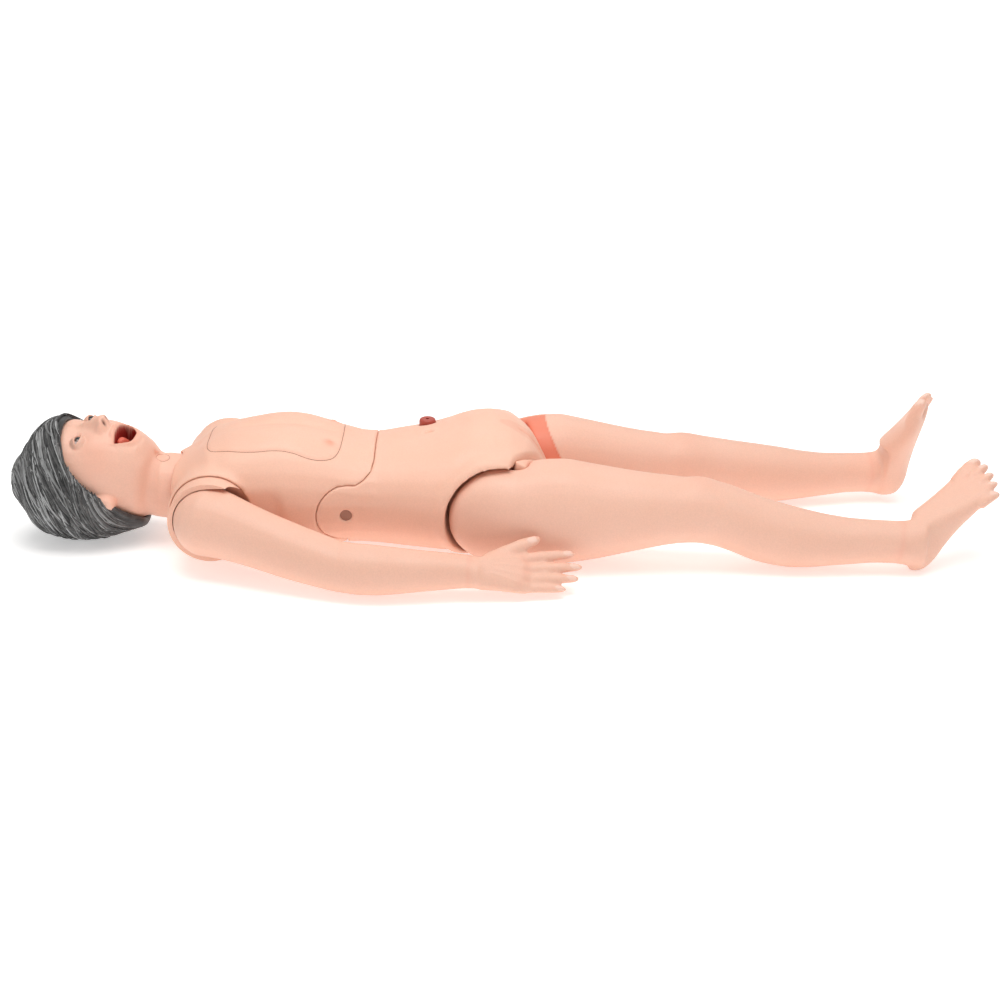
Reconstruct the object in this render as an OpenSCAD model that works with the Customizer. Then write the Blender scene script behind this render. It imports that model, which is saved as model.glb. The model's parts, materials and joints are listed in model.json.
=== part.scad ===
// Full-size nursing manikin lying on its back: jointed limbs, waist, neck and removable bust cover

/* [Torso] */
// Height of the hip and waist joint axes above the surface
hip_z = 82; // [80:1:86]
// Distance of each hip joint from the middle
hip_y = 98; // [96:1:100]
// Distance from the hip joints to the waist joint
waist_dist = 238; // [232:1:244]
// Radius of the round ears of the pelvis at the waist joint
ear_r = 46; // [42:1:50]
// Diameter of the waist bolts
bolt_d = 19; // [14:1:22]
// Thickness of the removable bust cover
cover_t = 6; // [4:0.5:8]

/* [Neck and head] */
// Distance from the hip joints to the neck joint
neck_dist = 522; // [518:1:528]
// Height of the neck axis above the surface
neck_z = 86; // [83:1:89]
// Radius of the neck ball
neck_r = 54; // [52:0.5:56]
// Diameter of the tracheostomy plug
plug_d = 21; // [16:1:24]
// Diameter of the eyeballs
eye_d = 25; // [23:0.5:27]
// How far the head is turned towards its right shoulder
head_yaw = 11; // [0:1:18]

/* [Arms] */
// Distance from the hip joints to the shoulder joints
shoulder_dist = 448; // [444:1:452]
// Distance of each shoulder joint from the middle
shoulder_y = 147; // [145:1:150]
// Height of the shoulder joints
shoulder_z = 84; // [82:1:86]
// Radius of the ball at the top of the arm
arm_ball_r = 56; // [54:0.5:57]
// Radius of the ring in the shoulder socket
shoulder_ring_r = 64; // [62:0.5:66]
// Shoulder to wrist length
arm_len = 421; // [415:1:425]
// Shoulder to elbow length
upper_arm_len = 222; // [218:1:226]

/* [Legs] */
// Radius of the ball at the top of the thigh
hip_ball_r = 77; // [74:0.5:77.5]
// Radius of the hip ring
hip_ring_r = 79; // [78:0.5:80]
// Hip to ankle length
leg_len = 634; // [628:1:640]
// Hip to knee length
thigh_len = 314; // [310:1:318]
// Diameter of the hinge pins inside knees and elbows
pin_d = 12; // [8:1:14]

/* [Ports] */
// Outer diameter of the stoma on the belly
stoma_d = 27; // [24:1:32]
// Diameter of the stoma's opening
stoma_bore = 6; // [5:0.5:9]
// Height of the stoma above the belly
stoma_h = 12; // [8:1:14]

/* [Fits] */
// Clearance between rigid parts that turn on each other
gap = 0.4; // [0.3:0.05:0.6]
// Clearance between skin segments
seam = 0.3; // [0.2:0.05:0.5]

/* [Hidden] */

skin_col = [0.97, 0.78, 0.67];
limb_col = [0.95, 0.79, 0.71];
ring_col = [0.91, 0.55, 0.45];
metal_col = [0.55, 0.45, 0.42];

// Longest reach of any cutting solid
big = 900;
function by_side(v, s) = s < 0 ? v[0] : v[1];
waist = [-waist_dist, 0, hip_z];
neck = [-neck_dist, 0, neck_z];
shoulder = [-shoulder_dist, -shoulder_y, shoulder_z];
hip = [0, -hip_y, hip_z];
// Rest pose of the arms, right and then left: how far each is spread
arm_yaw = [-13, -16];
arm_pitch = 6;

// A station is [x, y, z, half width, half height up, half height down]
function seg(s, x, i = 0) = (i >= len(s) - 2 || x < s[i + 1][0]) ? i : seg(s, x, i + 1);
function slope(s, i) =
    let (a = max(i - 1, 0), b = min(i + 1, len(s) - 1)) (s[b] - s[a]) / (s[b][0] - s[a][0]);
function at(s, x) =
    let (i = seg(s, x), h = s[i + 1][0] - s[i][0], t = max(0, min(1, (x - s[i][0]) / h)),
        u = t * t, v = u * t)
    s[i] * (2 * v - 3 * u + 1) + slope(s, i) * h * (v - 2 * u + t)
    + s[i + 1] * (3 * u - 2 * v) + slope(s, i + 1) * h * (v - u);
function corner(c, p) = sign(c) * pow(abs(c), 2 / p);
// One ring of a body with stations s: its plane passes through x on the axis and leans by k per mm
function ring(s, x, k, n, p) =
    [for (i = [0:n - 1])
        let (a = 360 * (i + 0.5) / n, g = at(s, x),
            z0 = corner(sin(a), p) * (sin(a) > 0 ? g[4] : g[5]),
            xx = x + k * z0, q = at(s, xx),
            y = q[1] + corner(cos(a), p) * q[3],
            z = q[2] + corner(sin(a), p) * (sin(a) > 0 ? q[4] : q[5]))
        [xx, y, z]];
// Closed solid through a list of rings with equal counts, the ends closed by flat fans
module loft(rings) {
    n = len(rings[0]);
    m = len(rings);
    pts = [for (r = rings) each r];
    sides = [for (j = [0:m - 2], i = [0:n - 1])
        let (a = j * n + i, b = j * n + (i + 1) % n) each [[a, a + n, b], [b, a + n, b + n]]];
    low = [for (i = [1:n - 2]) [0, i, i + 1]];
    high = [for (i = [1:n - 2]) let (o = (m - 1) * n) [o, o + i + 1, o + i]];
    polyhedron(points = pts, faces = concat(sides, low, high), convexity = 6);
}
function steps(a, b, m) = [for (i = [0:m]) a + (b - a) * i / m];
module limb(s, a, b, ka, kb, m, n, p = 2.2)
    loft([for (i = [0:m]) ring(s, a + (b - a) * i / m, ka + (kb - ka) * i / m, n, p)]);

// Mirrors its children to the manikin's left side, or leaves them on the right
module side(s) {
    if (s > 0) mirror([0, 1, 0]) children();
    else children();
}
module arm_frame(s) side(s) translate(shoulder) rotate([0, arm_pitch, by_side(arm_yaw, s)]) children();
// Rest pose of the legs, right and then left: spread, slope and lift of the knee
leg_yaw = [-4, -5.7];
leg_pitch = [3.2, 3.2];
knee_lift = [24, 6];
module leg_frame(s) side(s) translate(hip) rotate([0, by_side(leg_pitch, s), by_side(leg_yaw, s)]) children();

// Torso from the neck to the crotch
torso_st = [
    [-532, 0, 84, 60, 50, 50], [-505, 0, 84, 82, 58, 66], [-485, 0, 84, 108, 70, 74],
    [-460, 0, 84, 122, 88, 80], [-430, 0, 84, 128, 101, 84], [-390, 0, 84, 129, 108, 86],
    [-345, 0, 84, 131, 112, 86], [-300, 0, 84, 130, 108, 83], [-255, 0, 84, 122, 96, 76],
    [-205, 0, 84, 119, 83, 76], [-160, 0, 84, 127, 88, 80], [-100, 0, 84, 147, 97, 82],
    [-50, 0, 84, 160, 113, 86], [-10, 0, 84, 166, 118, 87], [40, 0, 84, 163, 99, 84],
    [62, 0, 82, 150, 76, 72], [76, 0, 78, 130, 52, 60], [84, 0, 74, 110, 34, 48]];
torso_n = 28;
boss_r = shoulder_ring_r + 5;
boss_y = shoulder_y - 24;
ring_y = shoulder_y + 6;
ring_in = shoulder_y - arm_ball_r - 9;
// Radius round the shoulder in which the flank is flat, so that the arm passes
arm_room = 112;
ear_in = 95;
// Waist bolts: thickness of ear under the head, and height of the head
bolt_in = 8;
bolt_head = 12;
drum_r = 38;
lip_x = -195;
waist_sweep = 114;
soft_z = 124;
insert_low = 64;
waist_seam = 0.5;
rim_half = 30;
// Widening of the hip socket over its outer 70 mm, in which the thigh's end swings
spread_room = 6.6;
stud_r = 16;
stem_r = 8;
// Neck swivel: stem, and the washer that holds it in the chest
swivel_r = 9;
washer_at = 70;
washer_r = 20;
washer_h = 14;

module torso() {
    xs = concat([-532, -516, -500, -485, -470], steps(-455, 50, 17), [64, 76, 84]);
    difference() {
        loft([for (x = xs) ring(torso_st, x, 0, torso_n, 2.35)]);
        below();
    }
}
// Everything under the surface that the manikin lies on
module below() translate([-big, -big / 2, -100]) cube([2 * big, big, 100]);
// Cylinder lying along Y between two distances from the middle, on one side or across it
module along_y(p, r, y0, y1)
    translate([p[0], y0, p[2]]) rotate([-90, 0, 0]) cylinder(r = r, h = y1 - y0, $fn = 64);
module both_y(p, r, y0, y1) {
    along_y(p, r, y0, y1);
    along_y(p, r, -y1, -y0);
}
// Everything on the head side of the waist seam, moved by d towards the feet
module chest_zone(d) translate([d, 0, 0]) rotate([90, 0, 0])
    linear_extrude(height = big, center = true) polygon([[-big, -big], [-big, big],
        [lip_x, big], [lip_x, 156], [lip_x - 4, 145], [lip_x - 16, 133], [lip_x - 30, 127],
        [-waist_dist, hip_z],
        [-waist_dist - 12, -big]]);
// Space that the lip of the chest sweeps when the waist bends, and the soft front of the belly
module soft_zone() {
    rotate([90, 0, 0]) linear_extrude(height = big, center = true) {
        intersection() {
            translate([-waist_dist, hip_z]) circle(r = waist_sweep, $fn = 64);
            translate([-waist_dist, hip_z])
                polygon([[0, 0], [big, 0.38 * big], [big, big], [-big, big], [-big, 0]]);
        }
        translate([-175, soft_z]) square([425, 200]);
    }
}
bust_edge = [[-462, -40], [-455, -60], [-443, -66], [-410, -78], [-378, -84], [-350, -84],
    [-320, -87], [-300, -92], [-278, -90], [-258, -81], [-250, -64], [-247, -38]];
module bust_outline(d) offset(delta = d) polygon(concat(bust_edge,
    [for (i = [len(bust_edge) - 1:-1:0]) [bust_edge[i][0], -bust_edge[i][1]]]));
module bust_zone(d) translate([0, 0, neck_z + 20]) linear_extrude(height = 200) bust_outline(d);
// Inner face of the bust cover, raised by d
module torso_core(d) loft([for (x = steps(-472, -240, 10))
    ring([for (q = torso_st) [q[0], q[1], q[2], q[3] - cover_t + d, q[4] - cover_t + d, q[5]]],
        x, 0, torso_n, 2.35)]);

module chest_shell() color(skin_col) {
    difference() {
        union() {
            difference() {
                intersection() {
                    torso();
                    chest_zone(0);
                }
                both_y(shoulder, arm_room, boss_y + 1, 300);
            }
            both_y(shoulder, boss_r, 60, boss_y);
            intersection() {
                along_y(waist, drum_r, -ear_in, ear_in);
                translate([-big / 2 - waist_dist + drum_r, -big / 2, -big / 2]) cube(big);
            }
        }
        both_y(waist, ear_r + gap, ear_in, 300);
        both_y(shoulder, shoulder_ring_r + gap, ring_in, 300);
        both_y(shoulder, stem_r + gap, ring_in - 40, ring_in + 1);
        both_y(waist, pin_d / 2 + 0.05, ear_in - 40, ear_in + 1);
        translate(neck) sphere(r = neck_r + gap, $fn = 64);
        translate([-big - neck_dist + 2, -big / 2, -big / 2]) cube(big);
        translate(neck) rotate([0, 90, 0]) cylinder(r = swivel_r + gap, h = washer_at + 22, $fn = 48);
        translate(neck + [washer_at - gap, 0, 0]) rotate([0, 90, 0])
            cylinder(r = washer_r + gap, h = washer_h + 2 * gap, $fn = 48);
        difference() {
            bust_zone(seam);
            torso_core(0);
        }
    }
}
module bust_cover() color(skin_col)
    difference() {
        intersection() {
            torso();
            bust_zone(0);
            chest_zone(-seam);
        }
        torso_core(seam);
    }
// Bolts on which the chest turns in the ears of the pelvis
module waist_bolts() color(metal_col) for (s = [-1, 1]) side(s) {
    along_y(waist, pin_d / 2, -ear_in - bolt_in - 4, -ear_in + 30);
    along_y(waist, bolt_d / 2, -ear_in - bolt_in - bolt_head, -ear_in - bolt_in);
}
module hip_cuts(d) for (s = [-1, 1]) side(s) {
    along_y(hip, hip_ring_r + d, -300, -rim_half);
    translate(hip) rotate([90, 0, 0])
        cylinder(r1 = hip_ring_r + d, r2 = hip_ring_r + d + spread_room, h = 70, $fn = 64);
    hip_side(0);
}
// Space beside and below the pelvis that is left for ring and thigh, its border moved by d
module hip_side(d) translate([d, 0, -big / 2]) linear_extrude(height = big)
    polygon([[16, -300], [16, -130], [26, -98], [48, -62], [66, -rim_half], [200, -rim_half + 8],
        [200, -300]]);
insert_x = 44;
insert_l = 40;
insert_w = 19;
module oval(d) translate([insert_x, 0]) offset(delta = d)
    polygon([for (a = [0:15:345]) [insert_l * cos(a), insert_w * sin(a)]]);

module pelvis_shell() color(skin_col) difference() {
    union() {
        difference() {
            torso();
            chest_zone(waist_seam);
            soft_zone();
            along_y(waist, drum_r + gap, -ear_in - gap, ear_in + gap);
        }
        intersection() {
            torso();
            both_y(waist, ear_r, ear_in + gap, 300);
        }
    }
    hip_cuts(gap);
    both_y(waist, bolt_d / 2, ear_in + bolt_in, 300);
    both_y(waist, pin_d / 2, ear_in, 300);
    translate([0, 0, insert_low]) linear_extrude(height = big) oval(seam);
}
stoma_at = [-115, 62, 168];
module belly_skin() color(skin_col) difference() {
    intersection() {
        torso();
        soft_zone();
    }
    chest_zone(seam);
    along_y(waist, drum_r + gap, -ear_in - gap, ear_in + gap);
    both_y(waist, ear_r, ear_in - 1, 300);
    hip_cuts(gap);
    translate([0, 0, insert_low]) linear_extrude(height = big) oval(seam);
    translate([stoma_at[0], stoma_at[1], stoma_at[2] - 12]) cylinder(d = stoma_d, h = 60, $fn = 64);
}
// Stoma: a soft dome with an open lumen
module stoma() color([0.69, 0.33, 0.29]) translate([stoma_at[0], stoma_at[1], stoma_at[2] - 12])
    rotate_extrude($fn = 64) polygon(concat([[stoma_bore / 2, 0], [stoma_d / 2, 0]],
        [for (a = [0:15:90]) [stoma_d / 2 - 5 + 5 * cos(a), stoma_h + 7 + 5 * sin(a)]],
        [[stoma_bore / 2, stoma_h + 11]]));
module perineal_insert() color([0.96, 0.72, 0.66]) difference() {
    intersection() {
        torso();
        translate([0, 0, insert_low]) linear_extrude(height = big) oval(0);
    }
    translate([30, 0, 190]) rotate([0, 118, 0]) linear_extrude(height = 44)
        polygon([[-8, -3], [-8, 3], [4, 0]]);
}

// Head and neck, with the face up
head_st = [
    [-764, 0, 100, 14, 14, 14], [-759, 0, 101, 36, 34, 36], [-748, 0, 103, 56, 53, 56],
    [-730, 0, 105, 69, 72, 74], [-700, 0, 106, 76, 84, 84], [-670, 0, 106, 77, 89, 87],
    [-640, 0, 104, 76, 93, 82], [-612, 0, 101, 72, 95, 72], [-585, 0, 98, 66, 91, 60],
    [-568, 0, 95, 60, 83, 53], [-553, 0, 90, 55, 68, 50], [-538, 0, 87, 52.5, 53, 51],
    [-520, 0, 86, 53, 53, 53], [-500, 0, 86, 48, 48, 48], [-480, 0, 86, 31, 31, 31],
    [-473, 0, 86, 18, 18, 18]];
head_n = 30;
// Hair: thickness on the head, less at the crown per mm, and extra under the back of the head
hair_t = 15;
hair_thin = 0.4;
wig_pad = 4;
crown_x = -763;
wig_xs = [-779, -774, -760, -738, -705, -670, -635, -600, -580, -562];
// Hairline from the forehead over the temple and ear to the nape
hairline = [[-700, 300], [-684, 182], [-669, 158], [-643, 130], [-614, 107], [-585, 80],
    [-556, 54], [-545, 20], [-400, 0], [-400, 300]];
// Height that nose, brow and chin add to the face at x, for a point at angle a
function bump(x, a, x0, sx, sa, h) =
    h * exp(-pow((x - x0) / sx, 2)) * exp(-pow((a - 90) / sa, 2));
function face(x, a) = bump(x, a, -632, 10, 9, 18) + bump(x, a, -650, 13, 8, 7)
    + bump(x, a, -688, 12, 40, 2) + bump(x, a, -568, 11, 22, 4)
    - bump(x, a, -668, 9, 14, 2);
function head_ring(x, d) =
    [for (i = [0:head_n - 1])
        let (b = 360 * (i + 0.5) / head_n, g = at(head_st, x), f = face(x, b))
        [x, corner(cos(b), 2.1) * (g[3] + d),
            g[2] + corner(sin(b), 2.1) * ((sin(b) > 0 ? g[4] : g[5]) + d + f)]];
module head_loft(xs, d) loft([for (x = xs) head_ring(x, d)]);
module head_pose() translate(neck) rotate([head_yaw, 0, 0]) translate(-neck) children();
head_xs = [-764, -759, -748, -733, -715, -700, -686, -675, -664, -652, -642, -634, -626, -617,
    -606, -594, -582, -570, -560, -550, -538, -524, -508, -494, -482, -474];
// How far eyes and mouth stand askew on the turned head
face_tilt = 9;
face_mid = -622;
module face_pose() translate([face_mid, 0, 0]) rotate([0, 0, -face_tilt]) translate([-face_mid, 0, 0])
    children();
eye_at = [-658, 33, 180];
mouth_at = [-590, 0, 150];
plug_at = [-537, 0, 120];
plug_h = 21;

module head_skin() color(skin_col) head_pose() difference() {
    head_loft(head_xs, 0);
    face_pose() for (s = [-1, 1]) side(s) translate([eye_at[0], -eye_at[1], eye_at[2]])
        sphere(d = eye_d + 2 * gap, $fn = 48);
    face_pose() translate(mouth_at) hull() for (s = [-1, 1]) translate([0, s * 9, 0])
        cylinder(r = 12, h = 60, $fn = 20);
    translate(neck) sphere(r = stud_r + gap, $fn = 48);
    translate(neck) rotate([0, 90, 0]) cylinder(r1 = 5, r2 = 48, h = 60, $fn = 48);
    translate(plug_at) cylinder(d = plug_d + 2 * seam, h = 2 * plug_h, $fn = 48);
}
module wig_form() head_pose() difference() {
    loft([for (x = wig_xs)
        let (q = max(x, crown_x), e = max(0, crown_x - x))
        [for (p = head_ring(q, hair_t - e * hair_thin))
            [x, p[1], p[2] - wig_pad * max(0, 1 - p[2] / 100)]]]);
    head_loft([for (x = head_xs) if (x < -540) x], seam);
    rotate([90, 0, 0]) linear_extrude(height = big, center = true) polygon(hairline);
}
module wig() color([0.42, 0.42, 0.43]) difference() {
    wig_form();
    below();
}
module eyeball(s) color([0.95, 0.95, 0.94]) head_pose() face_pose()
    side(s) translate([eye_at[0], -eye_at[1], eye_at[2]]) sphere(d = eye_d, $fn = 48);
module right_eye() eyeball(-1);
module left_eye() eyeball(1);
module tongue() color([0.88, 0.42, 0.35]) head_pose() face_pose() translate([mouth_at[0] - 2, 0, mouth_at[2]])
    hull() {
        translate([0, -5, 0]) cylinder(r = 8, h = 16, $fn = 20);
        translate([2, 5, 0]) cylinder(r = 7, h = 12, $fn = 20);
        translate([0, -3, 20]) sphere(r = 6, $fn = 16);
    }
module neck_plug() color(skin_col) head_pose() translate(plug_at)
    cylinder(d = plug_d, h = plug_h, $fn = 48);
module neck_swivel() color(metal_col) {
    translate(neck) sphere(r = stud_r, $fn = 48);
    translate(neck) rotate([0, 90, 0]) cylinder(r = swivel_r, h = washer_at + 2, $fn = 48);
    translate(neck + [washer_at, 0, 0]) rotate([0, 90, 0])
        cylinder(r = washer_r, h = washer_h, $fn = 48);
}

// Arm from the shoulder ball to the wrist, x along the arm
r_a = arm_ball_r;
arm_st = [
    [-r_a + 0.5, 0, 0, 3, 3, 3], [-r_a + 3, 0, 0, 18, 18, 18], [-r_a + 11, 0, 0, 33, 33, 33],
    [-r_a + 25, 0, 0, 47, 47, 47], [-r_a + 45, 0, 0, 55, 55, 55], [12, 0, 0, 54, 54, 54],
    [45, -8, -1, 49.5, 50, 50], [90, -19, -4, 45, 46, 46], [140, -27, -9, 43, 43, 43],
    [190, -34, -13, 41, 40, 39], [upper_arm_len, -37, -15, 40, 38, 37],
    [upper_arm_len + 40, -37, -13, 41, 40, 37], [upper_arm_len + 78, -32, -10, 39, 38, 35],
    [upper_arm_len + 118, -22, -6, 36, 33, 31], [arm_len - 36, -10, -2, 31, 29, 27],
    [arm_len, 0, 0, 29, 25, 23], [arm_len + 40, 2, 0, 31, 19, 18]];
limb_n = 20;
elbow = [upper_arm_len, -37, -15];
elbow_k = 0.55;
elbow_set = 25;
wrist_set = 12;
wrist_r = 16;
tongue_w = 16;
tongue_h = 24;
fork_t = 8;
// Room round a hinge inside its soft skin, across and along the pin
skin_room = 2;
// Half the length of the hollow in a joint's soft skin
hollow = 44;

module arm_skin(a, b, ka, kb, m) limb(arm_st, a, b, ka, kb, m, limb_n);
// Bar from p towards the hinge at q, with a round end and a bore for the pin
module bar(p, x0, w0, w1, h) difference() {
    union() {
        translate([min(x0, p[0]), p[1] + w0, p[2] - h / 2]) cube([abs(x0 - p[0]), w1 - w0, h]);
        translate([p[0], p[1] + w0, p[2]]) rotate([-90, 0, 0]) cylinder(d = h, h = w1 - w0, $fn = 48);
    }
    translate([p[0], p[1] + w0 - 1, p[2]]) rotate([-90, 0, 0])
        cylinder(d = pin_d + 0.1, h = w1 - w0 + 2, $fn = 48);
}
module fork(p, x0, w, h) {
    bar(p, x0, w / 2 + seam, w / 2 + seam + fork_t, h);
    bar(p, x0, -w / 2 - seam - fork_t, -w / 2 - seam, h);
}
module pocket(p, w, h) {
    translate([p[0] - hollow, p[1] - w / 2, p[2] - h / 2]) cube([2 * hollow, w, h]);
    translate([p[0], p[1] - w / 2, p[2]]) rotate([-90, 0, 0]) cylinder(d = h, h = w, $fn = 48);
}
module hinge_pin(p, w) translate([p[0], p[1] - w / 2, p[2]]) rotate([-90, 0, 0])
    cylinder(d = pin_d, h = w, $fn = 48);

// Ring in the shoulder socket with the ball stud that holds the arm
module shoulder_ring(s) color(skin_col) side(s) {
    difference() {
        along_y(shoulder, shoulder_ring_r, -ring_y, -ring_in - gap);
        translate(shoulder) sphere(r = arm_ball_r + gap, $fn = 64);
        translate(shoulder) rotate([0, 90, by_side(arm_yaw, s)])
            cylinder(r = arm_ball_r + 1, h = 100, $fn = 64);
    }
    along_y(shoulder, stem_r, -shoulder_y, -ring_in + 30);
    translate(shoulder) sphere(r = stud_r, $fn = 48);
}
module stud_room(s) {
    sphere(r = stud_r + gap, $fn = 48);
    rotate([0, -arm_pitch, 0]) rotate([0, 0, -by_side(arm_yaw, s)]) translate([0, 0, -stem_r - 1])
        linear_extrude(height = 2 * stem_r + 2)
        polygon([[10, 0], [14, 100], [-200, 100], [-90, 34], [-10, 0]]);
}
module upper_arm(s) color(limb_col) arm_frame(s) {
    difference() {
        loft(concat([for (x = [-r_a + 0.5, -r_a + 3, -r_a + 11, -r_a + 25, -r_a + 45, 12, 36])
            ring(arm_st, x, 0, limb_n, 2)],
            [for (i = [0:6]) ring(arm_st, 62 + (elbow[0] - elbow_set - 62) * i / 6,
                -elbow_k * i / 6, limb_n, 2 + 0.2 * i / 6)]));
        stud_room(s);
    }
    bar(elbow, elbow[0] - elbow_set - 8, -tongue_w / 2, tongue_w / 2, tongue_h);
}
module elbow_skin(s) color(limb_col) arm_frame(s) difference() {
    arm_skin(elbow[0] - elbow_set + seam, elbow[0] + elbow_set - seam, -elbow_k, elbow_k, 4);
    pocket(elbow, tongue_w + 2 * fork_t + skin_room, tongue_h + skin_room);
}
module forearm(s) color(limb_col) arm_frame(s) {
    arm_skin(elbow[0] + elbow_set, arm_len - wrist_set, elbow_k, 0, 6);
    fork(elbow, elbow[0] + elbow_set + 8, tongue_w, tongue_h);
    translate([arm_len, 0, 0]) sphere(r = wrist_r, $fn = 32);
    translate([arm_len - wrist_set - 4, 0, 0]) rotate([0, 90, 0]) cylinder(r = 8, h = wrist_set, $fn = 32);
}
module wrist_skin(s) color(limb_col) arm_frame(s) difference() {
    arm_skin(arm_len - wrist_set + seam, arm_len + wrist_set - seam, 0, 0, 2);
    translate([arm_len - 20, 0, 0]) rotate([0, 90, 0]) cylinder(r = wrist_r + 2, h = 40, $fn = 32);
}
module elbow_pin(s) color(metal_col) arm_frame(s) hinge_pin(elbow, tongue_w + 2 * fork_t);

// Digit: a tapered loft with a round tip, bent gently downward
module digit(p, yaw, dip, len, r, flat) translate(p) rotate([0, dip, yaw])
    loft([for (t = [0, 0.35, 0.7, 0.92, 1])
        let (q = r * (t < 0.9 ? 1 - 0.22 * t : (t < 1 ? 0.66 : 0.3)))
        [for (i = [0:9]) [len * t, q * cos(36 * i), flat * q * sin(36 * i) - 7 * t * t]]]);
hand_st = [
    [0, 0, 0, 29, 22, 20], [wrist_set, 0, 0, 29.5, 21, 19], [34, 2, 0, 33, 18, 17],
    [54, 3, -2, 36, 16, 15], [75, 2, -5, 36, 13.5, 13], [90, 1, -7, 34, 10, 10],
    [97, 1, -8, 28, 6, 6]];
hand_yaw = 15;
hand_dip = -5;
hand_roll = 32;
module hand(s) color(limb_col) difference() {
    arm_frame(s) translate([arm_len, 0, 0]) difference() {
        union() {
            limb(hand_st, wrist_set, 16, 0, 0, 1, limb_n, 2.2);
            rotate([0, hand_dip, hand_yaw]) rotate([hand_roll, 0, 0]) {
                limb(hand_st, 10, 96, 0, 0, 6, limb_n, 2.3);
                digit([76, 26, -4], 8, -2, 84, 10, 0.9);
                digit([80, 8, -5], 5, -1, 90, 10, 0.9);
                digit([78, -9, -6], 3, -1, 86, 9.5, 0.9);
                digit([70, -24, -7], 1, -1, 74, 8.5, 0.9);
                digit([18, 20, -2], 24, -8, 96, 12.5, 0.85);
            }
        }
        sphere(r = wrist_r + gap, $fn = 32);
        translate([wrist_set - 50, -60, -60]) cube([50, 120, 120]);
    }
    below();
}

// Leg from the hip ball to the ankle, x along the leg
r_h = hip_ball_r;
// The seventh number is the share of the knee's lift that the station has
function round_end(x, w) = let (h = sqrt(r_h * r_h - x * x) - 0.3) [x, 0, 0, w, h, h, 0];
leg_base = [
    round_end(1 - r_h, 34), round_end(5 - r_h, 48), round_end(16 - r_h, 58), round_end(36 - r_h, 65),
    round_end(60 - r_h, 69), round_end(4, 71), [26, -1, 0, 72, 76.5, 76, 0],
    [44, -2, 0, 73, 82, 77, 0.05], [90, -3, 0, 74, 90, 78, 0.15], [150, -3, 0, 71, 78, 72, 0.4],
    [220, -2, 0, 62, 63, 60, 0.75], [275, -1, 0, 55, 55, 51, 1], [thigh_len, 0, 2, 53, 53, 48, 1],
    [thigh_len + 40, 0, 1, 51, 50, 51, 0.9], [thigh_len + 90, 0, 0, 52, 47, 55, 0.4],
    [thigh_len + 150, 0, -2, 51, 44, 50, 0], [thigh_len + 225, 0, -4, 41, 36, 38, 0],
    [leg_len - 30, 0, 0, 33, 33, 33, 0], [leg_len, 0, 1, 33, 34, 35, 0],
    [leg_len + 40, 0, 4, 34, 38, 40, 0]];
function leg_st(s) = [for (q = leg_base)
    [q[0], q[1], q[2] + q[6] * by_side(knee_lift, s), q[3], q[4], q[5]]];
leg_n = 24;
// Rings of the thigh's round end: place along the leg and squareness of the section
thigh_end = [[1 - r_h, 3.4], [5 - r_h, 3.4], [16 - r_h, 3.4], [36 - r_h, 3.1], [60 - r_h, 2.8],
    [4, 2.6], [26, 2.4], [44, 2.3]];
function knee_at(s) = [thigh_len, 0, by_side(knee_lift, s)];
knee_k = 0.48;
knee_set = 32;
ankle_set = 13;
ankle_r = 18;
leg_tongue_w = 20;
leg_tongue_h = 34;

module leg_skin(s, a, b, ka, kb, m) limb(leg_st(s), a, b, ka, kb, m, leg_n, 2.1);
// Side of the hip joint that the ring takes, seen from above: its outer limb points along direction a
module hip_wedge(a, d) translate([0, 0, -200]) linear_extrude(height = 400)
    polygon([[0, d], [44 - d, 2 * d - 12], [50 - d, 20], [61 - d, 50], [90 - d, 110], [0, 300], [-300, 200],
        300 * [cos(a), sin(a)]]);
// Radius of the ring's upper edge in front of the pelvis
ring_lobe_r = 90;
hub_r = 24;
hub_h = 20;
ring_to = 177;
thigh_to = 200;
module hip_hub(r, h) cylinder(r = r, h = 2 * h, center = true, $fn = 48);

// Ring between pelvis and thigh: turns in the pelvis, and the thigh spreads on it
module hip_ring(s) color(ring_col) side(s) {
    difference() {
        intersection() {
            union() {
                along_y(hip, hip_ring_r, -hip_y - 13, -rim_half - gap);
                intersection() {
                    along_y(hip, ring_lobe_r, -hip_y - 13, -rim_half - gap);
                    hip_side(2 * gap);
                    translate([0, -big / 2, hip_z]) cube(big);
                }
            }
            translate(hip) hip_wedge(ring_to, gap);
        }
        translate(hip) hip_hub(hub_r + gap, 90);
        along_y(hip, hub_r - 6, -60, 0);
    }
    translate(hip) difference() {
        hip_hub(hub_r, hub_h);
        hip_hub(pin_d / 2 + 0.05, 100);
    }
    translate(hip) intersection() {
        difference() {
            translate([-40, 0, -hub_h]) cube([80, 50, 2 * hub_h]);
            hip_hub(hub_r - 4, 100);
        }
        hip_wedge(150, 2);
    }
}
module thigh(s) color(limb_col) {
    leg_frame(s) difference() {
        union() {
            loft(concat([for (q = thigh_end) ring(leg_st(s), q[0], 0, leg_n, q[1])],
                [for (i = [0:7]) ring(leg_st(s), 66 + (thigh_len - knee_set - 66) * i / 7,
                    knee_k * i / 7, leg_n, 2.2 - 0.1 * i / 7)]));
            bar(knee_at(s), thigh_len - knee_set - 30, -leg_tongue_w / 2, leg_tongue_w / 2, leg_tongue_h);
        }
        rotate([0, -by_side(leg_pitch, s), 0]) rotate([0, 0, -by_side(leg_yaw, s)]) {
            hip_wedge(thigh_to, 0.05);
            hip_hub(hub_r + gap, hub_h + gap);
        }
    }
    side(s) translate(hip) cylinder(d = pin_d, h = 110, center = true, $fn = 48);
}
module knee_skin(s) color(limb_col) leg_frame(s) difference() {
    leg_skin(s, thigh_len - knee_set + seam, thigh_len + knee_set - seam, knee_k, -knee_k, 4);
    pocket(knee_at(s), leg_tongue_w + 2 * fork_t + skin_room, leg_tongue_h + skin_room);
}
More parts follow.
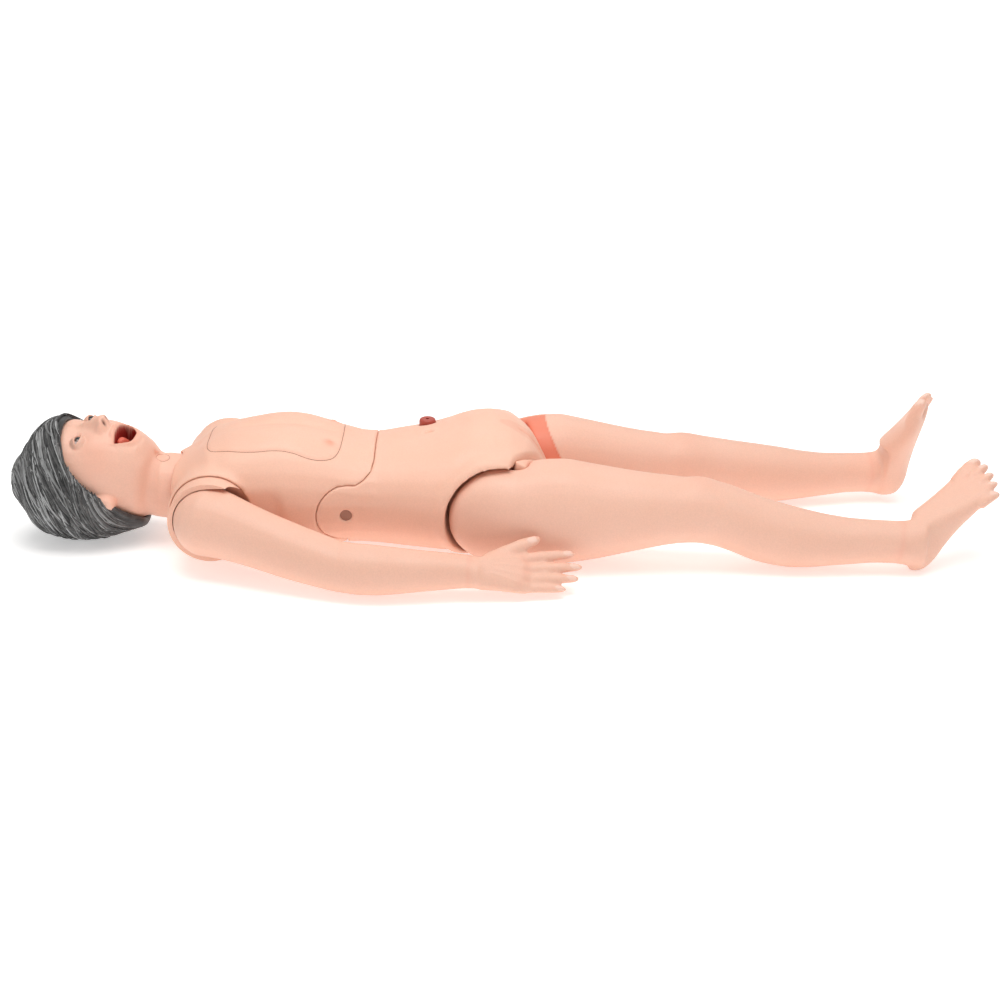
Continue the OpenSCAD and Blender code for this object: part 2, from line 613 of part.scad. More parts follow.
module shank(s) color(limb_col) leg_frame(s) {
    leg_skin(s, thigh_len + knee_set, leg_len - ankle_set, -knee_k, 0, 8);
    fork(knee_at(s), thigh_len + knee_set + 30, leg_tongue_w, leg_tongue_h);
    translate([leg_len, 0, 1]) sphere(r = ankle_r, $fn = 32);
    translate([leg_len - ankle_set - 4, 0, 1]) rotate([0, 90, 0]) cylinder(r = 9, h = ankle_set, $fn = 32);
}
module ankle_skin(s) color(limb_col) leg_frame(s) difference() {
    leg_skin(s, leg_len - ankle_set + seam, leg_len + ankle_set - seam, 0, 0, 2);
    translate([leg_len - 20, 0, 1]) rotate([0, 90, 0]) cylinder(r = ankle_r + 3, h = 40, $fn = 32);
}
module knee_pin(s) color(metal_col) leg_frame(s) hinge_pin(knee_at(s), leg_tongue_w + 2 * fork_t);

// Foot in its own frame: x from heel to toes, z from sole to instep
foot_st = [
    [-33, 0, -26, 8, 9, 9], [-29, 0, -26, 20, 20, 18], [-17, 0, -23, 27, 33, 31],
    [5, 0, -20, 32, 42, 40], [35, 0, -20, 34, 36, 38], [70, 1, -28, 38, 28, 29],
    [105, 2, -38, 44, 21, 20], [130, 3, -43, 46, 16, 16], [148, 3, -45, 43, 11, 13]];
foot_n = 22;
// Rest pose of the feet, right and then left: toes down, toes outward and sole turned inward
foot_tilt = [33, 5];
foot_roll = [-27, -15];
foot_turn = [34, 26];
module foot_form(s) {
    limb(leg_st(s), leg_len + ankle_set, leg_len + 34, 0, 0, 2, leg_n, 2.1);
    translate([leg_len, 0, 1]) rotate([by_side(foot_roll, s), 0, 0])
        rotate([0, by_side(foot_tilt, s) - 90, 0]) rotate([by_side(foot_turn, s), 0, 0]) {
        limb(foot_st, -33, 148, 0, 0, 11, foot_n, 2.3);
        digit([134, 31, -40], 2, 0, 52, 15, 0.9);
        digit([138, 10, -41], -1, 0, 46, 10.5, 0.95);
        digit([134, -8, -42], -5, 2, 42, 10, 0.95);
        digit([126, -24, -43], -9, 3, 40, 9.5, 0.95);
        digit([117, -38, -45], -14, 5, 36, 9.5, 0.95);
    }
}
module foot(s) color(limb_col) difference() {
    leg_frame(s) difference() {
        foot_form(s);
        translate([leg_len, 0, 1]) sphere(r = ankle_r + gap, $fn = 32);
        translate([leg_len + ankle_set - 40, -60, -60]) cube([40, 120, 120]);
    }
    below();
}

module right_shoulder_ring() shoulder_ring(-1);
module right_upper_arm() upper_arm(-1);
module right_elbow_skin() elbow_skin(-1);
module right_forearm() forearm(-1);
module right_wrist_skin() wrist_skin(-1);
module right_hand() hand(-1);
module right_elbow_pin() elbow_pin(-1);
module left_shoulder_ring() shoulder_ring(1);
module left_upper_arm() upper_arm(1);
module left_elbow_skin() elbow_skin(1);
module left_forearm() forearm(1);
module left_wrist_skin() wrist_skin(1);
module left_hand() hand(1);
module left_elbow_pin() elbow_pin(1);
module right_hip_ring() hip_ring(-1);
module right_thigh() thigh(-1);
module right_knee_skin() knee_skin(-1);
module right_shank() shank(-1);
module right_ankle_skin() ankle_skin(-1);
module right_foot() foot(-1);
module right_knee_pin() knee_pin(-1);
module left_hip_ring() hip_ring(1);
module left_thigh() thigh(1);
module left_knee_skin() knee_skin(1);
module left_shank() shank(1);
module left_ankle_skin() ankle_skin(1);
module left_foot() foot(1);
module left_knee_pin() knee_pin(1);

head_skin();
wig();
right_eye();
left_eye();
tongue();
neck_plug();
neck_swivel();
chest_shell();
bust_cover();
waist_bolts();
pelvis_shell();
belly_skin();
stoma();
perineal_insert();
right_shoulder_ring();
right_upper_arm();
right_elbow_skin();
right_forearm();
right_wrist_skin();
right_hand();
right_elbow_pin();
left_shoulder_ring();
left_upper_arm();
left_elbow_skin();
left_forearm();
left_wrist_skin();
left_hand();
left_elbow_pin();
right_hip_ring();
right_thigh();
right_knee_skin();
right_shank();
right_ankle_skin();
right_foot();
right_knee_pin();
left_hip_ring();
left_thigh();
left_knee_skin();
left_shank();
left_ankle_skin();
left_foot();
left_knee_pin();
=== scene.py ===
import json
import math

import bmesh
import bpy
import numpy as np
from mathutils import Matrix, Vector


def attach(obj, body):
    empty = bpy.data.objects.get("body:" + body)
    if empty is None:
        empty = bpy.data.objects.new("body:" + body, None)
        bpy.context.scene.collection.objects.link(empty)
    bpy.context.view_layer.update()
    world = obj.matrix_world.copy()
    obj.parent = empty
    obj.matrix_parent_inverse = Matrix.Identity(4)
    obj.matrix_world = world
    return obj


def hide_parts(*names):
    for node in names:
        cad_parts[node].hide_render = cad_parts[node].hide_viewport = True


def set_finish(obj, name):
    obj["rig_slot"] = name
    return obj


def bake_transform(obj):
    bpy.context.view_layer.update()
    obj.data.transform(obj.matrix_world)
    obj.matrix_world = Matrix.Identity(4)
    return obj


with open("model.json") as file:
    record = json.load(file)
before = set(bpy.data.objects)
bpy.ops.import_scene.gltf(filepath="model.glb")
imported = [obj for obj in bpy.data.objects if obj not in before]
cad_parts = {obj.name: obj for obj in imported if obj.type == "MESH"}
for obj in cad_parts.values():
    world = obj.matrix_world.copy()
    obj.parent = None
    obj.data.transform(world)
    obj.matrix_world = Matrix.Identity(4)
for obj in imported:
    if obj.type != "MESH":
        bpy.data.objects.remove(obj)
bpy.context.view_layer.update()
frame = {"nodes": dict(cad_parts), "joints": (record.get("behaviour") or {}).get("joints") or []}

scene = bpy.context.scene


# ---- Vinyl -------------------------------------------------------------------------------
# Every skin is soft PVC, cast in a mould and painted through: a satin face with faint
# cloudy mottling, the fine grain of the mould and roughness that varies a little across it.
def vinyl_group():
    g = bpy.data.node_groups.new("vinyl_grain", "ShaderNodeTree")
    g.interface.new_socket("Color", in_out="INPUT", socket_type="NodeSocketColor")
    g.interface.new_socket("Blush", in_out="INPUT", socket_type="NodeSocketColor")
    g.interface.new_socket("Gloss", in_out="INPUT", socket_type="NodeSocketFloat")
    g.interface.new_socket("Color", in_out="OUTPUT", socket_type="NodeSocketColor")
    g.interface.new_socket("Roughness", in_out="OUTPUT", socket_type="NodeSocketFloat")
    g.interface.new_socket("Height", in_out="OUTPUT", socket_type="NodeSocketFloat")
    n, l = g.nodes, g.links
    i, o = n.new("NodeGroupInput"), n.new("NodeGroupOutput")
    t = n.new("ShaderNodeTexCoord")

    def noise(scale, detail, rough=0.5):
        q = n.new("ShaderNodeTexNoise")
        q.inputs["Scale"].default_value = scale
        q.inputs["Detail"].default_value = detail
        q.inputs["Roughness"].default_value = rough
        l.new(t.outputs["Object"], q.inputs["Vector"])
        return q.outputs["Fac"]

    def ramp(src, a, b, lo, hi):
        q = n.new("ShaderNodeMapRange")
        q.inputs["From Min"].default_value = a
        q.inputs["From Max"].default_value = b
        q.inputs["To Min"].default_value = lo
        q.inputs["To Max"].default_value = hi
        l.new(src, q.inputs["Value"])
        return q.outputs["Result"]

    def mix(fac, a, b, kind="MIX"):
        q = n.new("ShaderNodeMix")
        q.data_type = "RGBA"
        q.blend_type = kind
        for src, k in ((fac, 0), (a, 6), (b, 7)):
            if isinstance(src, (int, float)):
                q.inputs[k].default_value = src
            elif isinstance(src, tuple):
                q.inputs[k].default_value = src
            else:
                l.new(src, q.inputs[k])
        return q.outputs[2]

    cloud = ramp(noise(9, 3, 0.55), 0.35, 0.7, 0.0, 0.55)
    c = mix(cloud, i.outputs["Color"], i.outputs["Blush"])
    fleck = ramp(noise(420, 2), 0.3, 0.7, 0.965, 1.03)
    v = n.new("ShaderNodeCombineColor")
    for k in range(3):
        l.new(fleck, v.inputs[k])
    c = mix(1.0, c, v.outputs[0], "MULTIPLY")
    l.new(c, o.inputs["Color"])
    r = ramp(noise(26, 4, 0.6), 0.3, 0.72, -0.05, 0.09)
    a = n.new("ShaderNodeMath")
    l.new(r, a.inputs[0])
    l.new(i.outputs["Gloss"], a.inputs[1])
    l.new(a.outputs[0], o.inputs["Roughness"])
    fine, broad = noise(900, 2), noise(120, 3)
    m = n.new("ShaderNodeMath")
    m.operation = "MULTIPLY_ADD"
    m.inputs[1].default_value = 2.2
    l.new(broad, m.inputs[0])
    l.new(fine, m.inputs[2])
    l.new(m.outputs[0], o.inputs["Height"])
    return g


vinyl_nodes = vinyl_group()


def vinyl(name, color, second_tone, gloss=0.46, masks=(), grain=0.05):
    """Vinyl with colour masks: each is (mesh attribute, colour), painted over the skin."""
    m = bpy.data.materials.new(name)
    m.use_nodes = True
    n, l = m.node_tree.nodes, m.node_tree.links
    b = n["Principled BSDF"]
    g = n.new("ShaderNodeGroup")
    g.node_tree = vinyl_nodes
    g.inputs["Color"].default_value = (*color, 1)
    g.inputs["Blush"].default_value = (*second_tone, 1)
    g.inputs["Gloss"].default_value = gloss
    c = g.outputs["Color"]
    for attribute, tint in masks:
        a = n.new("ShaderNodeAttribute")
        a.attribute_name = attribute
        q = n.new("ShaderNodeMix")
        q.data_type = "RGBA"
        q.inputs[7].default_value = (*tint, 1)
        l.new(a.outputs["Fac"], q.inputs[0])
        l.new(c, q.inputs[6])
        c = q.outputs[2]
    l.new(c, b.inputs["Base Color"])
    l.new(g.outputs["Roughness"], b.inputs["Roughness"])
    p = n.new("ShaderNodeBump")
    p.inputs["Strength"].default_value = grain * 4
    p.inputs["Distance"].default_value = 0.0004
    l.new(g.outputs["Height"], p.inputs["Height"])
    l.new(p.outputs[0], b.inputs["Normal"])
    b.inputs["Subsurface Weight"].default_value = 0.12
    b.inputs["Subsurface Radius"].default_value = (1.0, 0.45, 0.3)
    b.inputs["Subsurface Scale"].default_value = 0.006
    b.inputs["Specular IOR Level"].default_value = 0.42
    return m


# Torso tone mask: the nipples' own colour, and painted shade along the bust cover's joint line, in the navel, along the
# perineal insert's outline and in its groove.
torso_vinyl = vinyl("torso_vinyl", (0.87, 0.515, 0.385), (0.885, 0.545, 0.42), 0.47,
                    [("second_tone", (0.80, 0.33, 0.22))])
# Collar colour: painted shade, the deep red of skin vinyl in the shade between the legs.
# Limb tone mask: knuckles, knees and ankle bones in their own colour, and painted shade between the knuckles and in
# bands at the wrist and ankle joints.
limb_vinyl = vinyl("limb_vinyl", (0.835, 0.495, 0.375), (0.85, 0.525, 0.41), 0.47,
                   [("second_tone", (0.80, 0.37, 0.27)), ("nail", (0.88, 0.60, 0.50)),
                    ("collar", (0.79, 0.235, 0.145))])
# Head masks: the tone mask is lips, cheeks, lid rims and ears in their own colour plus painted shade under the jaw; the
# mouth colour is the mouth's red darkened by painted shade; the dark colour is painted shade in the nostrils and lid
# slits.
head_vinyl = vinyl("head_vinyl", (0.85, 0.50, 0.38), (0.87, 0.53, 0.41), 0.46,
                   [("second_tone", (0.83, 0.36, 0.25)), ("mouth", (0.33, 0.018, 0.012)),
                    ("dark", (0.10, 0.03, 0.02))])


# ---- Moulded surfaces --------------------------------------------------------------------
# A skin starts as one closed surface laid over the solids it stands for, so that the
# seams inside one limb close, and is then relaxed to the soft form of cast vinyl.
def coat(name, nodes, voxel, extra=None):
    bm = bmesh.new()
    for q in nodes:
        bm.from_mesh(frame["nodes"][q].data)
    if extra:
        extra(bm)
    raw = bpy.data.meshes.new(name)
    bm.to_mesh(raw)
    bm.free()
    o = bpy.data.objects.new(name, raw)
    scene.collection.objects.link(o)
    revoxel(o, voxel)
    return o


def revoxel(o, voxel):
    m = o.modifiers.new("voxel", "REMESH")
    m.mode = "VOXEL"
    m.voxel_size = voxel
    done = bpy.data.meshes.new_from_object(o.evaluated_get(bpy.context.evaluated_depsgraph_get()))
    o.modifiers.clear()
    o.data = done
    keep_outer(o)


def keep_outer(o):
    """Drops the closed surfaces of inner hollows and keeps the outermost one."""
    n = len(o.data.vertices)
    e = np.zeros(len(o.data.edges) * 2, np.int64)
    o.data.edges.foreach_get("vertices", e)
    e = e.reshape(-1, 2)
    label = np.arange(n)
    while True:
        low = np.minimum(label[e[:, 0]], label[e[:, 1]])
        new = label.copy()
        np.minimum.at(new, e[:, 0], low)
        np.minimum.at(new, e[:, 1], low)
        new = new[new]
        new = new[new]
        if (new == label).all():
            break
        label = new
    co = points(o)
    ids = np.unique(label)
    best = max(ids, key=lambda k: np.prod(np.ptp(co[label == k], axis=0)))
    if len(ids) > 1:
        bm = bmesh.new()
        bm.from_mesh(o.data)
        bm.verts.ensure_lookup_table()
        bmesh.ops.delete(bm, geom=[bm.verts[k] for k in np.nonzero(label != best)[0]],
                         context="VERTS")
        bm.to_mesh(o.data)
        bm.free()


def points(o):
    co = np.zeros(len(o.data.vertices) * 3, np.float32)
    o.data.vertices.foreach_get("co", co)
    return co.reshape(-1, 3).astype(float)


def put(o, co):
    o.data.vertices.foreach_set("co", co.astype(np.float32).ravel())
    o.data.update()


def normals(o):
    v = np.zeros(len(o.data.vertices) * 3, np.float32)
    o.data.vertices.foreach_get("normal", v)
    return v.reshape(-1, 3).astype(float)


def relax(o, times, weight=1.0, step=0.5):
    co = points(o)
    n = len(co)
    e = np.zeros(len(o.data.edges) * 2, np.int64)
    o.data.edges.foreach_get("vertices", e)
    e = e.reshape(-1, 2)
    a, b = np.concatenate([e[:, 0], e[:, 1]]), np.concatenate([e[:, 1], e[:, 0]])
    deg = np.maximum(np.bincount(a, minlength=n), 1)[:, None]
    w = (np.ones(n) * weight)[:, None] * step
    for _ in range(times):
        s = np.stack([np.bincount(a, co[b, k], n) for k in range(3)], 1) / deg
        co += w * (s - co)
    put(o, co)


def paint(o, name, values):
    a = o.data.attributes.get(name) or o.data.attributes.new(name, "FLOAT", "POINT")
    a.data.foreach_set("value", np.clip(values, 0, 1).astype(np.float32))


def dress(o, material, slot):
    o.data.materials.clear()
    o.data.materials.append(material)
    o.data.polygons.foreach_set("use_smooth", [True] * len(o.data.polygons))
    o.data.update()
    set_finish(o, slot)


def divide(o, name, inside):
    """Parts the faces whose centre is inside off as a new object, with the shading kept."""
    vn = normals(o)
    c = np.zeros(len(o.data.polygons) * 3, np.float32)
    o.data.polygons.foreach_get("center", c)
    pick = inside(c.reshape(-1, 3).astype(float))
    out = []
    for keep in (pick, ~pick):
        bm = bmesh.new()
        bm.from_mesh(o.data)
        tag = bm.verts.layers.float_vector.new("vn")
        bm.verts.ensure_lookup_table()
        for v in bm.verts:
            v[tag] = vn[v.index]
        bm.faces.ensure_lookup_table()
        bmesh.ops.delete(bm, geom=[bm.faces[k] for k in np.nonzero(~keep)[0]], context="FACES")
        me = bpy.data.meshes.new(name)
        bm.to_mesh(me)
        bm.free()
        me.polygons.foreach_set("use_smooth", [True] * len(me.polygons))
        v = np.zeros(len(me.vertices) * 3, np.float32)
        me.attributes["vn"].data.foreach_get("vector", v)
        me.normals_split_custom_set_from_vertices(v.reshape(-1, 3).tolist())
        me.attributes.remove(me.attributes["vn"])
        for m in o.data.materials:
            me.materials.append(m)
        out.append(me)
    part = bpy.data.objects.new(name, out[0])
    scene.collection.objects.link(part)
    o.data = out[1]
    for k in o.keys():
        if k == "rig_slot":
            part[k] = o[k]
    return part


def bell(d, s):
    return np.exp(-(d / s) ** 2)


def step_up(v, a, b):
    t = np.clip((v - a) / (b - a), 0, 1)
    return t * t * (3 - 2 * t)


# ---- Chest skin and bust cover -----------------------------------------------------------
# Moulded vinyl in one soft form: collar bones, breasts and ribs. The bust cover lifts off
# along a fine joint line; both come from one surface, so they meet exactly.
chest = coat("chest_skin", ["chest_shell", "bust_cover"], 0.0028)
co = points(chest)
x, y, z = co.T
side_y = np.abs(y)
rim = step_up(np.hypot(x + 0.448, z - 0.084), 0.058, 0.085)
rim = np.maximum(rim, step_up(0.118 - side_y, 0.0, 0.012))
seam = step_up(np.hypot(x + 0.238, z - 0.082), 0.05, 0.075)
seam = np.maximum(seam, step_up(0.08 - side_y, 0, 0.01))
free = rim * seam * step_up(-x, 0.2, 0.215)
relax(chest, 26, 0.08 + 0.92 * free)
co = points(chest)
x, y, z = co.T
side_y = np.abs(y)
up = step_up(normals(chest)[:, 2], 0.1, 0.7)
lift = 0.005 * bell(np.hypot((x + 0.335) * 0.8, side_y - 0.058), 0.048)
lift += 0.0022 * bell(x + 0.468 - side_y * 0.16, 0.012) * step_up(side_y, 0.012, 0.04) * step_up(0.12 - side_y, 0, 0.03)
lift -= 0.0035 * bell(y, 0.016) * bell(x + 0.34, 0.09)
lift -= 0.0015 * bell(np.hypot(x + 0.480, y * 0.8), 0.012)
tip = np.hypot(x + 0.266, side_y - 0.050)
lift += 0.0022 * bell(tip, 0.0045) + 0.0006 * bell(tip, 0.011)
co[:, 2] += lift * up
cover_edge = [(-462, -40), (-455, -60), (-443, -66), (-410, -78), (-378, -84), (-350, -84),
              (-320, -87), (-300, -92), (-278, -90), (-258, -81), (-250, -64), (-247, -38)]
cover_edge = [(a / 1000, b / 1000) for a, b in cover_edge]
cover_edge += [(a, -b) for a, b in cover_edge[::-1]]


def soft_loop(poly, rounds=3):
    """Rounds the corners of a closed outline."""
    for _ in range(rounds):
        poly = [q for a, b in zip(poly, poly[1:] + poly[:1])
                for q in ((a[0] * 0.75 + b[0] * 0.25, a[1] * 0.75 + b[1] * 0.25),
                          (a[0] * 0.25 + b[0] * 0.75, a[1] * 0.25 + b[1] * 0.75))]
    return np.array(poly)


def outline_distance(px, py, poly):
    """Distance to a closed outline, negative inside."""
    best = np.full(len(px), 1e9)
    inside = np.zeros(len(px), bool)
    for a, b in zip(poly, np.roll(poly, -1, 0)):
        d = b - a
        t = np.clip(((px - a[0]) * d[0] + (py - a[1]) * d[1]) / (d @ d), 0, 1)
        best = np.minimum(best, np.hypot(px - a[0] - t * d[0], py - a[1] - t * d[1]))
        cross = (a[1] > py) != (b[1] > py)
        inside ^= cross & (px < d[0] * (py - a[1]) / (d[1] if abs(d[1]) > 1e-12 else 1e-12) + a[0])
    return np.where(inside, -best, best)


cover_loop = soft_loop(cover_edge)
gap_at = outline_distance(co[:, 0], co[:, 1], cover_loop)
front = co[:, 2] > 0.1
co -= normals(chest) * (0.0009 * bell(gap_at, 0.0026) * front)[:, None]
put(chest, co)
# Tone mask: the nipples' own colour plus painted shade along the cover's joint line.
paint(chest, "second_tone", 0.75 * bell(tip, 0.0085) * front + 0.25 * bell(gap_at, 0.002) * front)
dress(chest, torso_vinyl, "torso_skin")
cover = divide(chest, "bust_cover_skin",
               lambda c: (outline_distance(c[:, 0], c[:, 1], cover_loop) < 0) & (c[:, 2] > 0.106))
for o, n in ((chest, "chest_shell"), (cover, "bust_cover")):
    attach(o, "chest")
    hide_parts(n)


def line_on(o, path, radius, name, body, material, slot, closed=True, lift=0.0):
    """A fine line of dark shadow in a joint: a thin bead laid along a path on a skin."""
    from mathutils.bvhtree import BVHTree
    tree = BVHTree.FromPolygons([v.co for v in o.data.vertices],
                                [p.vertices for p in o.data.polygons])
    curve = bpy.data.curves.new(name, "CURVE")
    curve.dimensions = "3D"
    curve.bevel_depth = radius
    curve.bevel_resolution = 1
    s = curve.splines.new("POLY")
    found = []
    for p in path:
        hit = tree.find_nearest(Vector(p))
        found.append(hit[0] + hit[1] * lift)
    s.points.add(len(found) - 1)
    for q, p in zip(s.points, found):
        q.co = (*p, 1)
    s.use_cyclic_u = closed
    c = bpy.data.objects.new(name, curve)
    scene.collection.objects.link(c)
    me = bpy.data.meshes.new_from_object(c.evaluated_get(bpy.context.evaluated_depsgraph_get()))
    bpy.data.objects.remove(c)
    b = bpy.data.objects.new(name, me)
    scene.collection.objects.link(b)
    dress(b, material, slot)
    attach(b, body)
    return b


def top_path(o, loop, start_z=0.3):
    """Drops a flat outline straight down onto a skin."""
    from mathutils.bvhtree import BVHTree
    tree = BVHTree.FromPolygons([v.co for v in o.data.vertices],
                                [p.vertices for p in o.data.polygons])
    path = []
    for a, b in loop:
        hit = tree.ray_cast(Vector((a, b, start_z)), Vector((0, 0, -1)))
        if hit[0] is not None:
            path.append(hit[0])
    return path


shadow_vinyl = vinyl("shadow_vinyl", (0.20, 0.062, 0.036), (0.26, 0.09, 0.05), 0.75)
whole = bpy.data.objects.new("whole", bpy.data.meshes.new("whole"))
bm = bmesh.new()
for q in (chest, cover):
    bm.from_mesh(q.data)
bm.to_mesh(whole.data)
bm.free()
dense = [tuple(a * (1 - t) + b * t) for a, b in zip(cover_loop, np.roll(cover_loop, -1, 0))
         for t in np.arange(0, 1, 1 / max(2, int(np.hypot(*(b - a)) / 0.003)))]
line_on(whole, top_path(whole, dense), 0.00042, "cover_joint_line", "chest", shadow_vinyl, "torso_skin",
        lift=-0.0001)
bpy.data.objects.remove(whole)


# ---- Pelvis skin and belly ---------------------------------------------------------------
# The lower trunk: one vinyl surface with navel, hip bones and a raised fold round each hip
# opening. The belly above the waist joint is parted off as a piece of its own.
pelvis = coat("pelvis_skin", ["pelvis_shell", "belly_skin", "perineal_insert"], 0.0028)
co = points(pelvis)
x, y, z = co.T
side_y = np.abs(y)
hub = np.hypot(x, z - 0.082)
keep = step_up(hub, 0.082, 0.094)
keep = np.minimum(keep, step_up(np.hypot(x + 0.238, z - 0.082), 0.05, 0.064))
keep = np.minimum(keep, step_up(x, -0.192, -0.176))
relax(pelvis, 26, 0.06 + 0.94 * keep)
co = points(pelvis)
x, y, z = co.T
side_y = np.abs(y)
hub = np.hypot(x, z - 0.082)
n = normals(pelvis)
up = step_up(n[:, 2], 0.0, 0.6)
navel = np.hypot((x + 0.112) * 1.0, y * 1.25)
lift = -0.007 * bell(navel, 0.0055) + 0.001 * bell(navel - 0.012, 0.006)
lift += 0.0026 * bell(hub - 0.0905, 0.0065) * step_up(side_y, 0.03, 0.06)
lift -= 0.0016 * bell(hub - 0.103, 0.006) * step_up(side_y, 0.03, 0.06)
lift -= 0.0012 * bell(x + 0.06 + side_y * 0.2, 0.012) * bell(side_y, 0.10)
groove = np.abs(y) / 0.0035
stretch = step_up(x, 0.028, 0.04) * step_up(0.082 - x, 0, 0.012)
lift -= 0.0026 * np.exp(-groove ** 2) * stretch
co += n * (lift * np.maximum(up, step_up(side_y, 0.06, 0.1) * 0.8))[:, None]
put(pelvis, co)
oval = np.array([(0.044 + 0.040 * math.cos(t), 0.019 * math.sin(t)) for t in np.linspace(0, 2 * math.pi, 73)[:-1]])
edge = outline_distance(x, y, oval)
# Tone mask: painted shade in the navel, along the perineal insert's outline and in its groove, and the insert's own
# colour inside the outline.
paint(pelvis, "second_tone", 0.35 * bell(navel, 0.006) + 0.30 * step_up(-edge, -0.001, 0.004) * (z > 0.06)
      + 0.30 * bell(edge, 0.0016) * (z > 0.08) + 0.3 * np.exp(-groove ** 2) * stretch)
dress(pelvis, torso_vinyl, "torso_skin")
insert = divide(pelvis, "perineal_skin", lambda c: (outline_distance(c[:, 0], c[:, 1], oval) < 0) & (c[:, 2] > 0.064))
belly = divide(pelvis, "belly_front",
               lambda c: (c[:, 2] > 0.124) | ((np.hypot(c[:, 0] + 0.238, c[:, 2] - 0.082) < 0.114)
                                              & (c[:, 2] - 0.082 > 0.38 * (c[:, 0] + 0.238))
                                              & (c[:, 0] > -0.238) & (c[:, 2] > 0.1)))
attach(pelvis, "pelvis")
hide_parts("pelvis_shell")
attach(insert, "pelvis")
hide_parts("perineal_insert")
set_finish(insert, "insert")
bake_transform(belly)
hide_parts("belly_skin")


# ---- Arms --------------------------------------------------------------------------------
# Each arm is one vinyl skin from the shoulder ball to the finger tips over a jointed core.
# It is parted midway between elbow and wrist; the parts share one surface.
def joint_at(name):
    return next(np.array(j["pos_m"]) for j in frame["joints"] if j["name"] == name)


def turned(x=0, y=0, z=0, at=(0, 0, 0)):
    """Matrix: turn about X, then Y, then Z by degrees, then move by at millimetres."""
    m = Matrix.Rotation(math.radians(z), 4, "Z") @ Matrix.Rotation(math.radians(y), 4, "Y")
    m = m @ Matrix.Rotation(math.radians(x), 4, "X")
    m.translation = [k / 1000 for k in at]
    return m


def model_digits(o, base, digits, droop):
    """Nails, nail beds and knuckle creases on the digits of a hand or foot."""
    co, n = points(o), normals(o)
    nail = np.zeros(len(co))
    lift = np.zeros(len(co))
    for at, yaw, dip, size, r in digits:
        m = np.array((base @ turned(0, dip, yaw, at)).inverted())
        q = co @ m[:3, :3].T + m[:3, 3]
        t = q[:, 0] * 1000 / size
        mid = -droop * t * t / 1000
        w = r / 1000 * (1 - 0.24 * np.clip(t, 0, 1))
        u, v = q[:, 1] / w, (q[:, 2] - mid) / w
        on = (np.hypot(u, v) < 1.5) & (v > -0.2) & (t > -0.1) & (t < 1.1)
        e = np.maximum(np.abs(t - 0.86) / (7.5 / size), np.abs(u) / 0.62)
        e = np.where(t < 0.86, np.hypot((t - 0.86) / (7.5 / size), u / 0.68), e)
        plate = step_up(1.0 - e, -0.05, 0.12) * on
        nail = np.maximum(nail, plate)
        lift += 0.00035 * plate - 0.00045 * bell(e - 1.08, 0.16) * on
        for k, s in ((0.36, 1.0), (0.64, 0.8)):
            for d in (-1.6, 1.6):
                lift -= s * 0.00030 * bell((t - k) * size + d, 0.8) * on * (np.abs(u) < 0.9)
            lift += s * 0.0006 * bell((t - k) * size, 5.0) * on
    put(o, co + n * lift[:, None])
    return nail


hand_digits = [((76, 26, -4), 8, -2, 84, 10), ((80, 8, -5), 5, -1, 90, 10), ((78, -9, -6), 3, -1, 86, 9.5),
               ((70, -24, -7), 1, -1, 74, 8.5), ((18, 20, -2), 24, -8, 96, 12.5)]
for side, s in (("right", -1), ("left", 1)):
    shoulder = joint_at(side + "_shoulder_raise")
    elbow = joint_at(side + "_elbow")
    wrist = joint_at(side + "_wrist")
    names = [side + k for k in ("_upper_arm", "_elbow_skin", "_forearm", "_wrist_skin", "_hand")]
    arm = coat(side + "_arm_skin", names, 0.0020)
    co = points(arm)
    d = (wrist - elbow) / np.linalg.norm(wrist - elbow)
    past = (co - wrist) @ d
    relax(arm, 26, 1 - 0.72 * step_up(past, 0.03, 0.08))
    flip = Matrix.Diagonal((1, -s, 1, 1))
    hand = (flip @ turned(at=(-448, -147, 84)) @ turned(0, 6, -13 if s < 0 else -16)
            @ turned(0, -5, 15, (421, 0, 0)) @ turned(32))
    nail = model_digits(arm, hand, hand_digits, 7)
    co, n = points(arm), normals(arm)
    m = np.array(hand.inverted())
    q = (co @ m[:3, :3].T + m[:3, 3]) * 1000
    back = (q[:, 2] > -2) * step_up(q[:, 0], 20, 40)
    tendon = sum(bell((q[:, 1] - b) - (q[:, 0] - 30) * k, 2.6) for b, k in ((13, 0.24), (4, 0.06), (-4, -0.12), (-11, -0.28)))
    knuckle = sum(bell(np.hypot(q[:, 0] - a, q[:, 1] - b), 6) for a, b in ((78, 25), (82, 8), (79, -9), (71, -23)))
    groove = sum(bell(np.hypot((q[:, 0] - 84) / 2.2, q[:, 1] - b), 3.2) for b in (17, -0.5, -17))
    crease = bell((co - elbow) @ d - 0.002, 0.004) * (n[:, 2] > 0.2) * 0.0006
    lift = 0.001 * (0.6 * tendon * step_up(86 - q[:, 0], 0, 20) + 1.0 * knuckle - 1.2 * groove) * back
    put(arm, co + n * (lift - crease)[:, None])
    paint(arm, "nail", nail)
    # Tone mask: the knuckles' own colour, and painted shade in the grooves between the knuckles and in a band at the
    # wrist joint.
    paint(arm, "second_tone", back * np.clip(0.22 * knuckle + 0.3 * groove, 0, 0.4) + 0.25 * bell(past + 0.004, 0.004))
    dress(arm, limb_vinyl, "limb_skin")
    mid = elbow * 0.5 + wrist * 0.5
    upper = divide(arm, side + "_upper_skin", lambda c: (c - mid) @ d < 0)
    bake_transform(upper)
    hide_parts(side + "_upper_arm", side + "_elbow_skin")
    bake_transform(arm)
    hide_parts(side + "_forearm", side + "_wrist_skin", side + "_hand")


